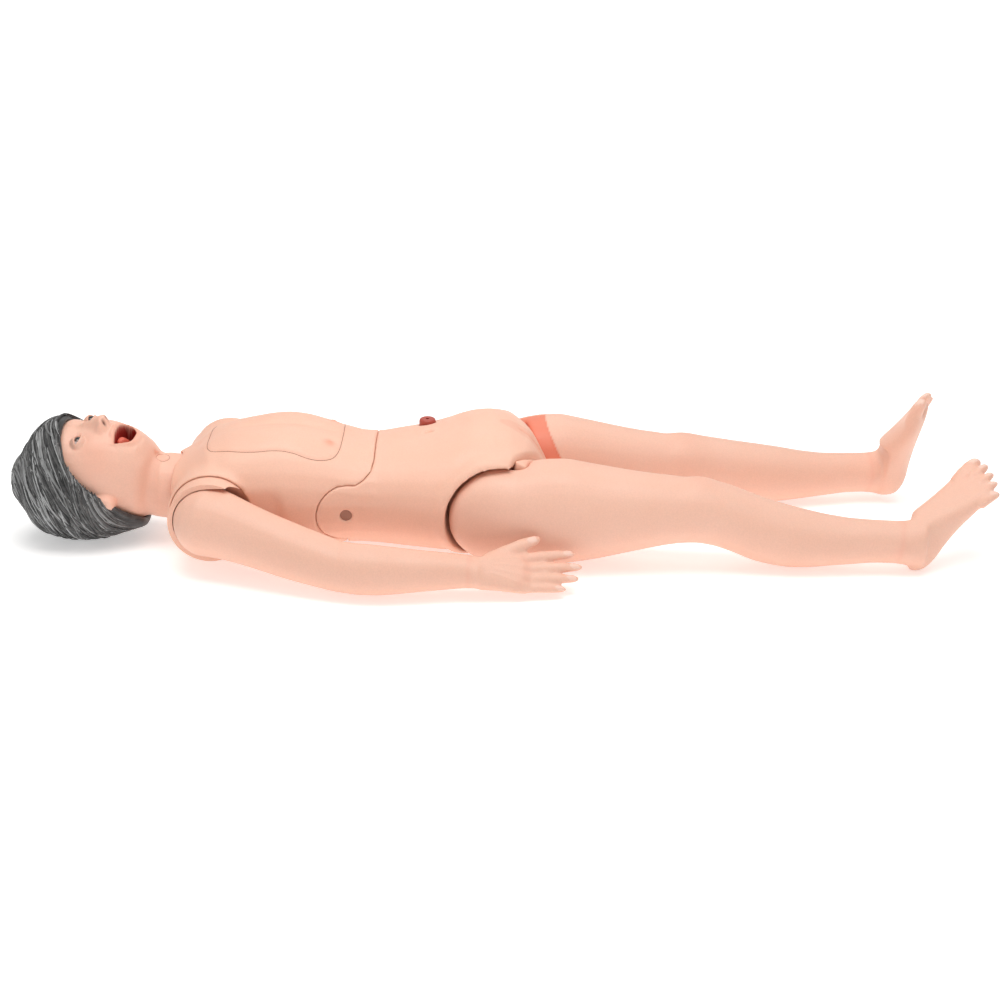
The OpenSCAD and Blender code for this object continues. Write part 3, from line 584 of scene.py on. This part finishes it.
# ---- Legs --------------------------------------------------------------------------------
# Each leg is one vinyl skin from the ball in the hip ring to the toes. The left thigh shows
# the collar of its hip ring, let in flush below a fine lip and painted red as shade between the legs.
toe_digits = [((134, 31, -40), 2, 0, 52, 15), ((138, 10, -41), -1, 0, 46, 10.5), ((134, -8, -42), -5, 2, 42, 10),
              ((126, -24, -43), -9, 3, 40, 9.5), ((117, -38, -45), -14, 5, 36, 9.5)]


def collar_edge(c):
    """How far a point lies beyond the edge of the collar, whose red is painted shade."""
    return c[:, 0] - 0.0745 - (0.172 - c[:, 2]) * 0.5


for side, s in (("right", -1), ("left", 1)):
    hip = joint_at(side + "_hip_flex")
    knee = joint_at(side + "_knee")
    ankle = joint_at(side + "_ankle")
    names = [side + k for k in ("_thigh", "_knee_skin", "_shank", "_ankle_skin", "_foot")]
    leg = coat(side + "_leg_skin", names, 0.0025)
    co = points(leg)
    d = (ankle - knee) / np.linalg.norm(ankle - knee)
    past = (co - ankle) @ d
    relax(leg, 28, 1 - 0.7 * step_up(past, 0.03, 0.06))
    flip = Matrix.Diagonal((1, -s, 1, 1))
    yaw, tilt, roll, turn_out = (-4, 33, -27, 34) if s < 0 else (-5.7, 5, -15, 26)
    foot = (flip @ turned(at=(0, -98, 82)) @ turned(0, 3.2, yaw) @ turned(roll, at=(634, 0, 1))
            @ turned(0, tilt - 90) @ turned(turn_out))
    nail = model_digits(leg, foot, toe_digits, 7)
    co, n = points(leg), normals(leg)
    a = (co - knee) @ d
    off = co - knee - a[:, None] * d
    round_knee = bell(np.hypot(a + 0.004, off[:, 1]), 0.026) * (n[:, 2] > 0.2)
    dimple = bell(np.hypot(a + 0.030, np.abs(off[:, 1]) - 0.026), 0.013) * (n[:, 2] > 0.1)
    shin = bell(off[:, 1] + 0.006, 0.010) * step_up(a, 0.05, 0.09) * step_up(-past, 0.05, 0.09) * (n[:, 2] > 0.3)
    bone = bell(np.hypot(past + 0.004, off[:, 2] + 0.0), 0.016) * (np.abs(n[:, 1]) > 0.55)
    lift = 0.0024 * round_knee - 0.0018 * dimple + 0.0016 * shin + 0.0040 * bone
    if s > 0:
        rim = (co[:, 1] < 0.125) * (co[:, 2] > 0.05)
        lift -= 0.0016 * step_up(-collar_edge(co), -0.001, 0.0015) * rim
    put(leg, co + n * lift[:, None])
    paint(leg, "nail", nail)
    # The collar is painted the deep red of painted shade between the legs.
    paint(leg, "collar", step_up(-collar_edge(points(leg)), -0.0008, 0.0008) * (s > 0) * (co[:, 1] < 0.125) * (co[:, 2] > 0.05))
    # Tone mask: knee and ankle bone in their own colour, and painted shade in a band at the ankle joint.
    paint(leg, "second_tone", 0.22 * round_knee + 0.25 * bell(past + 0.006, 0.004) + 0.12 * bone)
    dress(leg, limb_vinyl, "limb_skin")
    mid = knee * 0.5 + ankle * 0.5
    upper = divide(leg, side + "_thigh_skin", lambda c: (c - mid) @ d < 0)
    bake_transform(upper)
    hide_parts(side + "_thigh", side + "_knee_skin")
    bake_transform(leg)
    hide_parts(side + "_shank", side + "_ankle_skin", side + "_foot")
# ---- Head --------------------------------------------------------------------------------
# Soft vinyl head turned a little to its right: lids over the glass eyes, nose, ears and an
# open mouth with lips, all in one moulded surface that stops at the neck ball.
head = coat("head_vinyl_skin", ["head_skin", "neck_plug"], 0.00145)
relax(head, 14)


def head_turned(co, back=False):
    """World points in the frame of the upright, untilted face, or back again."""
    turn, tilt = math.radians(11), math.radians(9)
    neck_at, mid = np.array([-0.522, 0, 0.086]), np.array([-0.622, 0, 0])
    r = np.array([[1, 0, 0], [0, math.cos(turn), -math.sin(turn)], [0, math.sin(turn), math.cos(turn)]])
    q = np.array([[math.cos(tilt), math.sin(tilt), 0], [-math.sin(tilt), math.cos(tilt), 0], [0, 0, 1]])
    if back:
        return ((co - mid) @ q.T + mid - neck_at) @ r.T + neck_at
    return ((co - neck_at) @ r + neck_at - mid) @ q + mid


co = head_turned(points(head))
x, y, z = co.T
side_y = np.abs(y)
front = step_up(z, 0.125, 0.155)
# The constructed nose and chin are smoothed away, then modelled at full detail.
flat = co.copy()
bulk = np.array([[-764, 100, 14, 14], [-759, 101, 36, 34], [-748, 103, 56, 53], [-730, 105, 69, 72],
                 [-700, 106, 76, 84], [-670, 106, 77, 89], [-640, 104, 76, 93], [-612, 101, 72, 95],
                 [-585, 98, 66, 91], [-568, 95, 60, 83], [-553, 90, 55, 68], [-538, 87, 52.5, 53],
                 [-520, 86, 53, 53], [-473, 86, 18, 18]]) / 1000
mid_z, half_y, half_z = (np.interp(x, bulk[:, 0], bulk[:, k]) for k in (1, 2, 3))
share = np.clip(1 - (side_y / half_y) ** 2.1, 0, 1) ** (1 / 2.1)
calm = bell(y, 0.045) * step_up(x, -0.70, -0.685) * step_up(-x, 0.545, 0.56) * front
z = z + (mid_z + half_z * share - z) * calm


def ridge(at, heights):
    return np.interp(at, [h[0] / 1000 for h in heights], [h[1] / 1000 for h in heights])


nose = ridge(x, [(-684, 0), (-672, 2), (-662, 4.5), (-650, 9), (-640, 14), (-633, 18.5), (-628, 20),
                 (-624, 19), (-620, 13), (-616.5, 6), (-613, 1.5), (-608, 0)])
wide = ridge(x, [(-684, 6), (-664, 6), (-650, 7), (-640, 9), (-632, 12.5), (-626, 14), (-618, 12)])
z = z + nose * np.exp(-(side_y / wide) ** 2.4)
z += 0.006 * bell(np.hypot(x + 0.6275, side_y - 0.0125), 0.0058)
z -= 0.0045 * bell(np.hypot((x + 0.6225) * 0.9, side_y - 0.0068), 0.0030)
z -= 0.0012 * bell(np.hypot(x + 0.626, side_y - 0.021) - 0.001, 0.0035)
z += 0.0026 * bell(x + 0.684, 0.010) * bell(side_y - 0.026, 0.024)
z -= 0.0030 * bell(np.hypot((x + 0.659) * 1.1, side_y - 0.031), 0.019)
z -= 0.0022 * bell(x + 0.668, 0.008) * bell(y, 0.010)
z += 0.003 * bell(np.hypot(x + 0.628, side_y - 0.045), 0.018)
z -= 0.0014 * bell((x + 0.610) - (side_y - 0.020) * 0.8, 0.0045) * bell(side_y - 0.026, 0.013)
z -= 0.0012 * bell(y, 0.0022) * bell(x + 0.6115, 0.006)
z += 0.0008 * bell(side_y - 0.0042, 0.0022) * bell(x + 0.6115, 0.006)
# Lids: the ball of the eye pushes them out, and they part in an almond.
eye_c = np.array([-0.658, 0.033, 0.180])
off = np.hypot(x - eye_c[0], side_y - eye_c[1])
ball = eye_c[2] + np.sqrt(np.clip(0.0146 ** 2 - off ** 2, 0, None))
z = np.where(off < 0.0145, np.maximum(z, ball), z)
slit_half = 0.0044 * np.clip(1 - ((side_y - 0.034) / 0.0125) ** 2, 0, 1)
slit = np.abs(x - eye_c[0] + 0.0006) - slit_half
in_slit = (slit < 0) & (z > 0.15)
depth = step_up(-slit, 0.0, 0.0016)
z = z - np.where(z > 0.15, 0.0066 * depth, 0)
z += 0.0007 * bell(slit - 0.0012, 0.0012) * (side_y > 0.018) * (side_y < 0.049) * front
z -= 0.0009 * bell(slit - 0.0058, 0.0016) * (x < eye_c[0]) * bell(side_y - 0.033, 0.013) * front
# Mouth: an open D with its straight side under the nose.
wide_m = np.where(y < 0, 0.0285, 0.0262)
t = np.clip(side_y / wide_m, 0, 1.6)
upper = -0.6045 + 0.0040 * t ** 2.4
lower = -0.5760 - 0.0215 * t ** 3.4
room = np.minimum(x - upper, lower - x)
room = np.where(t < 1, room, np.minimum(room, (1 - t) * wide_m))
hollow = step_up(room, -0.0002, 0.0030) * (z > 0.15)
lip = bell(room + 0.0042, 0.0040) * front
z += 0.0040 * lip * (0.55 + 0.45 * bell(y, 0.02))
z -= 0.0018 * bell(room + 0.0098, 0.0032) * front * bell(y, 0.018)
z -= 0.034 * hollow
# Chin, jaw and the fold under it, throat and ears.
z += 0.0055 * bell(np.hypot((x + 0.5625) * 1.2, y * 0.75), 0.0135) * front
z -= 0.0022 * bell(x + 0.5725, 0.004) * bell(y, 0.014) * front
co = np.stack([x, y, z], 1)
put(head, head_turned(co, True))
n = normals(head)
ear = np.array([-0.6245, 0.0745, 0.094])
ex, ez = x - ear[0], z - ear[2]
rx, rz = ex * 0.94 + ez * 0.34, -ex * 0.34 + ez * 0.94
rad = np.hypot(rx / 0.031, rz / 0.018)
push = 0.010 * step_up(1.12 - rad, 0, 0.3) * (side_y > 0.055)
push -= 0.006 * bell(rad - 0.42, 0.20) * (rx < 0.012) * (side_y > 0.055)
push += 0.0045 * bell(np.hypot(rx - 0.021, rz), 0.009) * (side_y > 0.052)
jaw = (x + 0.552) - (z - 0.10) * 0.10
push -= 0.0022 * bell(jaw, 0.0075) * step_up(0.165 - z, 0, 0.02) * step_up(z, 0.03, 0.06)
push += 0.0016 * bell(jaw + 0.016, 0.010) * step_up(0.165 - z, 0, 0.02)
put(head, points(head) + n * push[:, None])
relax(head, 2, 0.6 * (1 - np.clip(hollow + depth, 0, 1)))
# The inside of the mouth is painted a very dark red: the mouth's red darkened by painted shade in its hollow.
paint(head, "mouth", step_up(room, -0.0006, 0.0005) * (z > 0.12))
# Tone mask: lips, cheeks, lid rims and a band round each ear in their own colour, and painted shade in the fold under
# the jaw.
paint(head, "second_tone", np.maximum.reduce([
    0.55 * bell(room + 0.0030, 0.0030) * (room < 0.002) * front,
    0.32 * bell(np.hypot(x + 0.628, side_y - 0.047), 0.026) * front,
    0.45 * bell(slit - 0.0004, 0.0016) * (side_y > 0.018) * (side_y < 0.049) * front,
    0.12 * bell(jaw, 0.006) * step_up(0.165 - z, 0, 0.02),
    0.30 * bell(rad - 1.05, 0.10) * (side_y > 0.055)]))
# Painted shade: near black in the nostrils and on the walls of the lid slits.
paint(head, "dark", np.maximum(0.95 * bell(np.hypot((x + 0.6225) * 0.9, side_y - 0.0068), 0.0026) * front,
                               0.8 * step_up(-slit, 0.0003, 0.0016) * (z > 0.15)))
dress(head, head_vinyl, "head_skin")


# The tracheostomy plug in the throat: a disc flush with the skin inside a fine groove.
def neck_frame(c):
    r = math.radians(11)
    q = np.array([[1, 0, 0], [0, math.cos(r), -math.sin(r)], [0, math.sin(r), math.cos(r)]])
    return (c - np.array([-0.522, 0, 0.086])) @ q


def plug_side(c):
    q = neck_frame(c)
    return (np.hypot(q[:, 0] + 0.015, q[:, 1]) < 0.0108) & (q[:, 2] > 0.02)


q = neck_frame(points(head))
groove = bell(np.hypot(q[:, 0] + 0.015, q[:, 1]) - 0.0108, 0.0018) * (q[:, 2] > 0.02)
put(head, points(head) - normals(head) * (0.0011 * groove)[:, None])
r = math.radians(11)
circle = [(-0.537 + 0.0108 * math.cos(t), 0.0108 * math.sin(t)) for t in np.linspace(0, 2 * math.pi, 49)[:-1]]
circle = [(a, b * math.cos(r) - 0.054 * math.sin(r)) for a, b in circle]
line_on(head, top_path(head, circle), 0.00045, "plug_line", "head",
        vinyl("plug_shadow", (0.48, 0.20, 0.13), (0.52, 0.24, 0.16), 0.6), "head_skin")
plug = divide(head, "neck_plug_skin", plug_side)
for o, q in ((head, "head_skin"), (plug, "neck_plug")):
    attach(o, "head")
    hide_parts(q)


# ---- Tongue ------------------------------------------------------------------------------
# A soft, wet-looking tongue that fills the near side of the mouth.
tongue = coat("tongue_soft", ["tongue"], 0.0009)
co = head_turned(points(tongue))
far = step_up(co[:, 2], 0.155, 0.178)
co[:, 0] = -0.594 + (co[:, 0] + 0.594) * (1 + 0.15 * far) - 0.0035 * far
co[:, 1] = co[:, 1] * (1 + 0.9 * far) - 0.0080 * far
co[:, 2] += 0.0110 * far
put(tongue, head_turned(co, True))
relax(tongue, 30)
n = normals(tongue)
co = points(tongue)
put(tongue, co + n * (0.0004 * np.sin(co[:, :1] * 900) * np.sin(co[:, 1:2] * 700)))
tongue_vinyl = vinyl("tongue_vinyl", (0.78, 0.17, 0.105), (0.70, 0.11, 0.07), 0.34, grain=0.25)
dress(tongue, tongue_vinyl, "mouth")
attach(tongue, "head")
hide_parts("tongue")


# ---- Eyes --------------------------------------------------------------------------------
# Glossy balls behind the lids with a dark brown iris, held by the soft lids.
def eye_material(name, centre, gaze):
    m = bpy.data.materials.new(name)
    m.use_nodes = True
    n, l = m.node_tree.nodes, m.node_tree.links
    b = n["Principled BSDF"]
    t = n.new("ShaderNodeTexCoord")
    a = n.new("ShaderNodeVectorMath")
    a.operation = "SUBTRACT"
    a.inputs[1].default_value = centre
    l.new(t.outputs["Object"], a.inputs[0])
    u = n.new("ShaderNodeVectorMath")
    u.operation = "NORMALIZE"
    l.new(a.outputs[0], u.inputs[0])
    d = n.new("ShaderNodeVectorMath")
    d.operation = "DOT_PRODUCT"
    d.inputs[1].default_value = gaze
    l.new(u.outputs[0], d.inputs[0])
    w = n.new("ShaderNodeTexNoise")
    w.inputs["Scale"].default_value = 700
    l.new(t.outputs["Object"], w.inputs["Vector"])
    j = n.new("ShaderNodeMath")
    j.operation = "MULTIPLY_ADD"
    j.inputs[1].default_value = 0.02
    l.new(w.outputs["Fac"], j.inputs[0])
    l.new(d.outputs["Value"], j.inputs[2])
    r = n.new("ShaderNodeValToRGB")
    stops = [(0.0, (0.62, 0.53, 0.50)), (0.80, (0.60, 0.50, 0.47)), (0.825, (0.030, 0.022, 0.022)),
             (0.93, (0.10, 0.055, 0.04)), (0.965, (0.05, 0.028, 0.024)), (0.975, (0.006, 0.006, 0.007))]
    r.color_ramp.elements.remove(r.color_ramp.elements[1])
    r.color_ramp.elements[0].color = (*stops[0][1], 1)
    for at, c in stops[1:]:
        r.color_ramp.elements.new(at).color = (*c, 1)
    l.new(j.outputs[0], r.inputs["Fac"])
    l.new(r.outputs["Color"], b.inputs["Base Color"])
    b.inputs["Roughness"].default_value = 0.12
    b.inputs["Coat Weight"].default_value = 0.6
    b.inputs["Coat Roughness"].default_value = 0.05
    return m


for side, s in (("right", -1), ("left", 1)):
    middle = head_turned(np.array([[-0.658, s * 0.033, 0.180], [-0.658, s * 0.033, 1.180]]), True)
    me = frame["nodes"][side + "_eye"].data
    me.materials.clear()
    me.materials.append(eye_material(side + "_eye_look", middle[0].tolist(), (middle[1] - middle[0]).tolist()))


# ---- Wig ---------------------------------------------------------------------------------
# Grey synthetic hair on a cap: locks combed from the forehead round the side to the nape.
# The cap is one closed form; several hundred flattened, tapering locks lie over it.
def hair_material():
    m = bpy.data.materials.new("hair")
    m.use_nodes = True
    n, l = m.node_tree.nodes, m.node_tree.links
    b = n["Principled BSDF"]
    a = n.new("ShaderNodeAttribute")
    a.attribute_name = "tone"
    t = n.new("ShaderNodeTexCoord")
    q = n.new("ShaderNodeTexNoise")
    q.inputs["Scale"].default_value = 60
    q.inputs["Detail"].default_value = 5
    l.new(t.outputs["Object"], q.inputs["Vector"])
    s = n.new("ShaderNodeMath")
    s.operation = "MULTIPLY_ADD"
    s.inputs[1].default_value = 0.45
    l.new(q.outputs["Fac"], s.inputs[0])
    l.new(a.outputs["Fac"], s.inputs[2])
    r = n.new("ShaderNodeValToRGB")
    r.color_ramp.elements[0].position = 0.22
    r.color_ramp.elements[0].color = (0.022, 0.022, 0.023, 1)
    r.color_ramp.elements[1].position = 1.15 - 0.2
    r.color_ramp.elements[1].color = (0.40, 0.405, 0.41, 1)
    r.color_ramp.elements.new(0.55).color = (0.105, 0.105, 0.105, 1)
    l.new(s.outputs[0], r.inputs["Fac"])
    l.new(r.outputs["Color"], b.inputs["Base Color"])
    h = n.new("ShaderNodeMapRange")
    h.inputs["To Min"].default_value = 0.38
    h.inputs["To Max"].default_value = 0.6
    l.new(q.outputs["Fac"], h.inputs["Value"])
    l.new(h.outputs["Result"], b.inputs["Roughness"])
    b.inputs["Specular IOR Level"].default_value = 0.35
    return m


hair = hair_material()
cap = coat("wig_cap", ["wig"], 0.0028)
relax(cap, 60)
paint(cap, "tone", np.full(len(cap.data.vertices), 0.12))
dress(cap, hair, "hair")

from mathutils.bvhtree import BVHTree

cap_tree = BVHTree.FromPolygons([v.co for v in cap.data.vertices], [p.vertices for p in cap.data.polygons])
turn = Matrix.Rotation(math.radians(11), 3, "X")
neck_at = Vector((-0.522, 0, 0.086))
crown = neck_at + turn @ (Vector((-0.680, 0, 0.100)) - neck_at)


def on_cap(around, away):
    """Point and normal of the cap seen from the middle of the head: angle round it, angle from the crown."""
    way = turn @ Vector((-math.cos(away), math.sin(away) * math.sin(around), math.sin(away) * math.cos(around)))
    far = crown + way * 0.3
    hit = cap_tree.ray_cast(far, -way, 0.3)
    if hit[0] is None or (hit[0] - crown).length < 0.06:
        return None
    return hit[0], hit[1]


def lock(path, width, thick, ups):
    """Ring points of a flattened, tapering lock along a path."""
    rings = []
    n = len(path)
    for k in range(n):
        d = (path[min(k + 1, n - 1)] - path[max(k - 1, 0)]).normalized()
        u = ups[k]
        s = d.cross(u).normalized()
        taper = min(1, 0.35 + 3.0 * k / n) * (1 - (k / (n - 1)) ** 3) + 0.06
        w, t = width * taper, thick * (0.4 + 0.6 * taper)
        rings += [path[k] + s * w, path[k] + s * w * 0.35 + u * t, path[k] - s * w * 0.45 + u * t * 0.9,
                  path[k] - s * w, path[k] - u * t * 0.6]
    return rings


rng = np.random.default_rng(7)
verts, faces, tones = [], [], []
for k in range(1150):
    s = -1 if k % 5 else 1
    start = math.radians(rng.uniform(-14, 26) if k % 3 else rng.uniform(26, 100)) * s
    away = math.radians(rng.uniform(4, 112))
    sweep = math.radians(rng.uniform(70, 135)) * s
    drift = math.radians(rng.uniform(26, 58)) * (1 if away < 1.5 else 0.7)
    wave, phase = rng.uniform(0.004, 0.03), rng.uniform(0, 6)
    raised = rng.uniform(0.0002, 0.0032)
    path, ups = [], []
    for i in range(15):
        f = i / 14
        a = start + sweep * f
        if abs(a) > math.radians(172):
            break
        got = on_cap(a, away + drift * f ** 1.7 + wave * math.sin(phase + 5 * f))
        if got is None:
            if path:
                break
            continue
        p, u = got
        path.append(p + u * raised * math.sin(math.pi * min(1, 0.12 + f)) )
        ups.append(u)
    if len(path) < 5:
        continue
    base = len(verts)
    ring = lock(path, rng.uniform(0.0008, 0.0024), rng.uniform(0.0005, 0.0012), ups)
    verts += ring
    tone = rng.choice([rng.uniform(0.0, 0.25), rng.uniform(0.2, 0.5), rng.uniform(0.5, 0.8)], p=[0.42, 0.42, 0.16])
    tones += [tone] * len(ring)
    for i in range(len(path) - 1):
        for j in range(5):
            faces.append((base + i * 5 + j, base + i * 5 + (j + 1) % 5,
                          base + i * 5 + 5 + (j + 1) % 5, base + i * 5 + 5 + j))
    faces.append(tuple(base + j for j in range(4, -1, -1)))
    faces.append(tuple(base + (len(path) - 1) * 5 + j for j in range(5)))
lock_mesh = bpy.data.meshes.new("wig_locks")
lock_mesh.from_pydata([tuple(v) for v in verts], [], faces)
locks = bpy.data.objects.new("wig_locks", lock_mesh)
scene.collection.objects.link(locks)
co = points(locks)
co[:, 2] = np.maximum(co[:, 2], 0.0004)
put(locks, co)
paint(locks, "tone", np.array(tones))
dress(locks, hair, "hair")
for o in (cap, locks):
    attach(o, "head")
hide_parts("wig")


# ---- Parts that keep their exact solids --------------------------------------------------
# Rings, ports, bolts and pins, shown as they were constructed.
def finish_nodes(names, material):
    for q in names:
        me = frame["nodes"][q].data
        me.materials.clear()
        me.materials.append(material)


finish_nodes(["right_shoulder_ring", "left_shoulder_ring"], torso_vinyl)

stoma_vinyl = vinyl("stoma_rubber", (0.46, 0.085, 0.060), (0.36, 0.05, 0.038), 0.36, grain=0.2)
finish_nodes(["stoma"], stoma_vinyl)


def metal(name, color, rough):
    """Turned light alloy, dulled by handling: fine mottling in its colour and roughness."""
    m = bpy.data.materials.new(name)
    m.use_nodes = True
    n, l = m.node_tree.nodes, m.node_tree.links
    b = n["Principled BSDF"]
    b.inputs["Metallic"].default_value = 1
    t = n.new("ShaderNodeTexCoord")
    q = n.new("ShaderNodeTexNoise")
    q.inputs["Scale"].default_value = 180
    l.new(t.outputs["Object"], q.inputs["Vector"])
    r = n.new("ShaderNodeMapRange")
    r.inputs["To Min"].default_value = rough - 0.08
    r.inputs["To Max"].default_value = rough + 0.12
    l.new(q.outputs["Fac"], r.inputs["Value"])
    l.new(r.outputs["Result"], b.inputs["Roughness"])
    c = n.new("ShaderNodeValToRGB")
    c.color_ramp.elements[0].color = (*[k * 0.8 for k in color], 1)
    c.color_ramp.elements[1].color = (*color, 1)
    l.new(q.outputs["Fac"], c.inputs["Fac"])
    l.new(c.outputs["Color"], b.inputs["Base Color"])
    return m


alloy = metal("alloy", (0.42, 0.30, 0.26), 0.42)
finish_nodes(["neck_swivel", "waist_bolts"] + [s + k for s in ("right", "left") for k in ("_elbow_pin", "_knee_pin")], alloy)


# ---- Hip rings ---------------------------------------------------------------------------
# Moulded rings between pelvis and thighs: the right one skin-coloured, the left one, between the legs, painted red as
# shade.
# Painted shade: skin vinyl made deep red, as in the shade between the legs.
shaded_ring_vinyl = vinyl("shaded_ring_vinyl", (0.79, 0.235, 0.145), (0.76, 0.20, 0.12), 0.42)
for side, look in (("right", torso_vinyl), ("left", shaded_ring_vinyl)):
    ring = coat(side + "_hip_ring_soft", [side + "_hip_ring"], 0.0019)
    relax(ring, 18)
    dress(ring, look, "hip_ring")
    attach(ring, side + "_hip")
    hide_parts(side + "_hip_ring")


# ---- Studio ------------------------------------------------------------------------------
# White sweep with a soft shadow under the figure, large soft lamps from above.
def emit(name, look, strength, size, at, to, kind="AREA"):
    lamp = bpy.data.lights.new(name, kind)
    lamp.energy = strength
    lamp.shape = "RECTANGLE"
    lamp.size, lamp.size_y = size
    lamp.color = look
    o = bpy.data.objects.new(name, lamp)
    scene.collection.objects.link(o)
    o.location = at
    o.rotation_euler = (Vector(to) - Vector(at)).to_track_quat("-Z", "Y").to_euler()
    return o


emit("key", (1, 0.985, 0.965), 47, (2.8, 1.4), (-0.1, -0.35, 2.4), (0, 0, 0.1))
emit("fill", (0.97, 0.985, 1), 13, (3.2, 1.6), (0.6, 1.6, 2.0), (0, 0, 0.1))

floor_mesh = bpy.data.meshes.new("floor")
floor_mesh.from_pydata([(-9, -9, 0), (9, -9, 0), (9, 9, 0), (-9, 9, 0)], [], [(0, 1, 2, 3)])
floor = bpy.data.objects.new("floor", floor_mesh)
scene.collection.objects.link(floor)
fm = bpy.data.materials.new("floor_white")
fm.use_nodes = True
fm.node_tree.nodes["Principled BSDF"].inputs["Base Color"].default_value = (0.93, 0.93, 0.93, 1)
fm.node_tree.nodes["Principled BSDF"].inputs["Emission Color"].default_value = (1, 1, 1, 1)
# The floor glows a little more away from the figure, so that the sweep ends in pure white.
fn, fl = fm.node_tree.nodes, fm.node_tree.links
spot, far, glow = fn.new("ShaderNodeTexCoord"), fn.new("ShaderNodeVectorMath"), fn.new("ShaderNodeMapRange")
far.operation = "LENGTH"
fl.new(spot.outputs["Object"], far.inputs[0])
fl.new(far.outputs["Value"], glow.inputs["Value"])
for k, v in (("From Min", 0.9), ("From Max", 2.6), ("To Min", 0.40), ("To Max", 0.95)):
    glow.inputs[k].default_value = v
fl.new(glow.outputs["Result"], fn["Principled BSDF"].inputs["Emission Strength"])
fm.node_tree.nodes["Principled BSDF"].inputs["Roughness"].default_value = 0.9
fm.node_tree.nodes["Principled BSDF"].inputs["Specular IOR Level"].default_value = 0.1
floor_mesh.materials.append(fm)

world = bpy.data.worlds.new("white_room")
scene.world = world
world.use_nodes = True
wn, wl = world.node_tree.nodes, world.node_tree.links
wn.clear()
out = wn.new("ShaderNodeOutputWorld")
seen, light, both = wn.new("ShaderNodeBackground"), wn.new("ShaderNodeBackground"), wn.new("ShaderNodeMixShader")
seen.inputs["Color"].default_value = (1, 1, 1, 1)
light.inputs["Color"].default_value = (1, 0.99, 0.975, 1)
light.inputs["Strength"].default_value = 0.44
path = wn.new("ShaderNodeLightPath")
wl.new(path.outputs["Is Camera Ray"], both.inputs[0])
wl.new(light.outputs[0], both.inputs[1])
wl.new(seen.outputs[0], both.inputs[2])
wl.new(both.outputs[0], out.inputs["Surface"])

cam = bpy.data.cameras.new("camera")
cam.sensor_width = 36
cam.lens = 73.3
cam.clip_end = 60
eye = bpy.data.objects.new("camera", cam)
scene.collection.objects.link(eye)
eye.location = (0.003, -3.0597, 1.2972)
eye.rotation_euler = (Vector((0.003, 0, 0.061)) - eye.location).to_track_quat("-Z", "Y").to_euler()
scene.camera = eye
scene.view_settings.view_transform = "Standard"
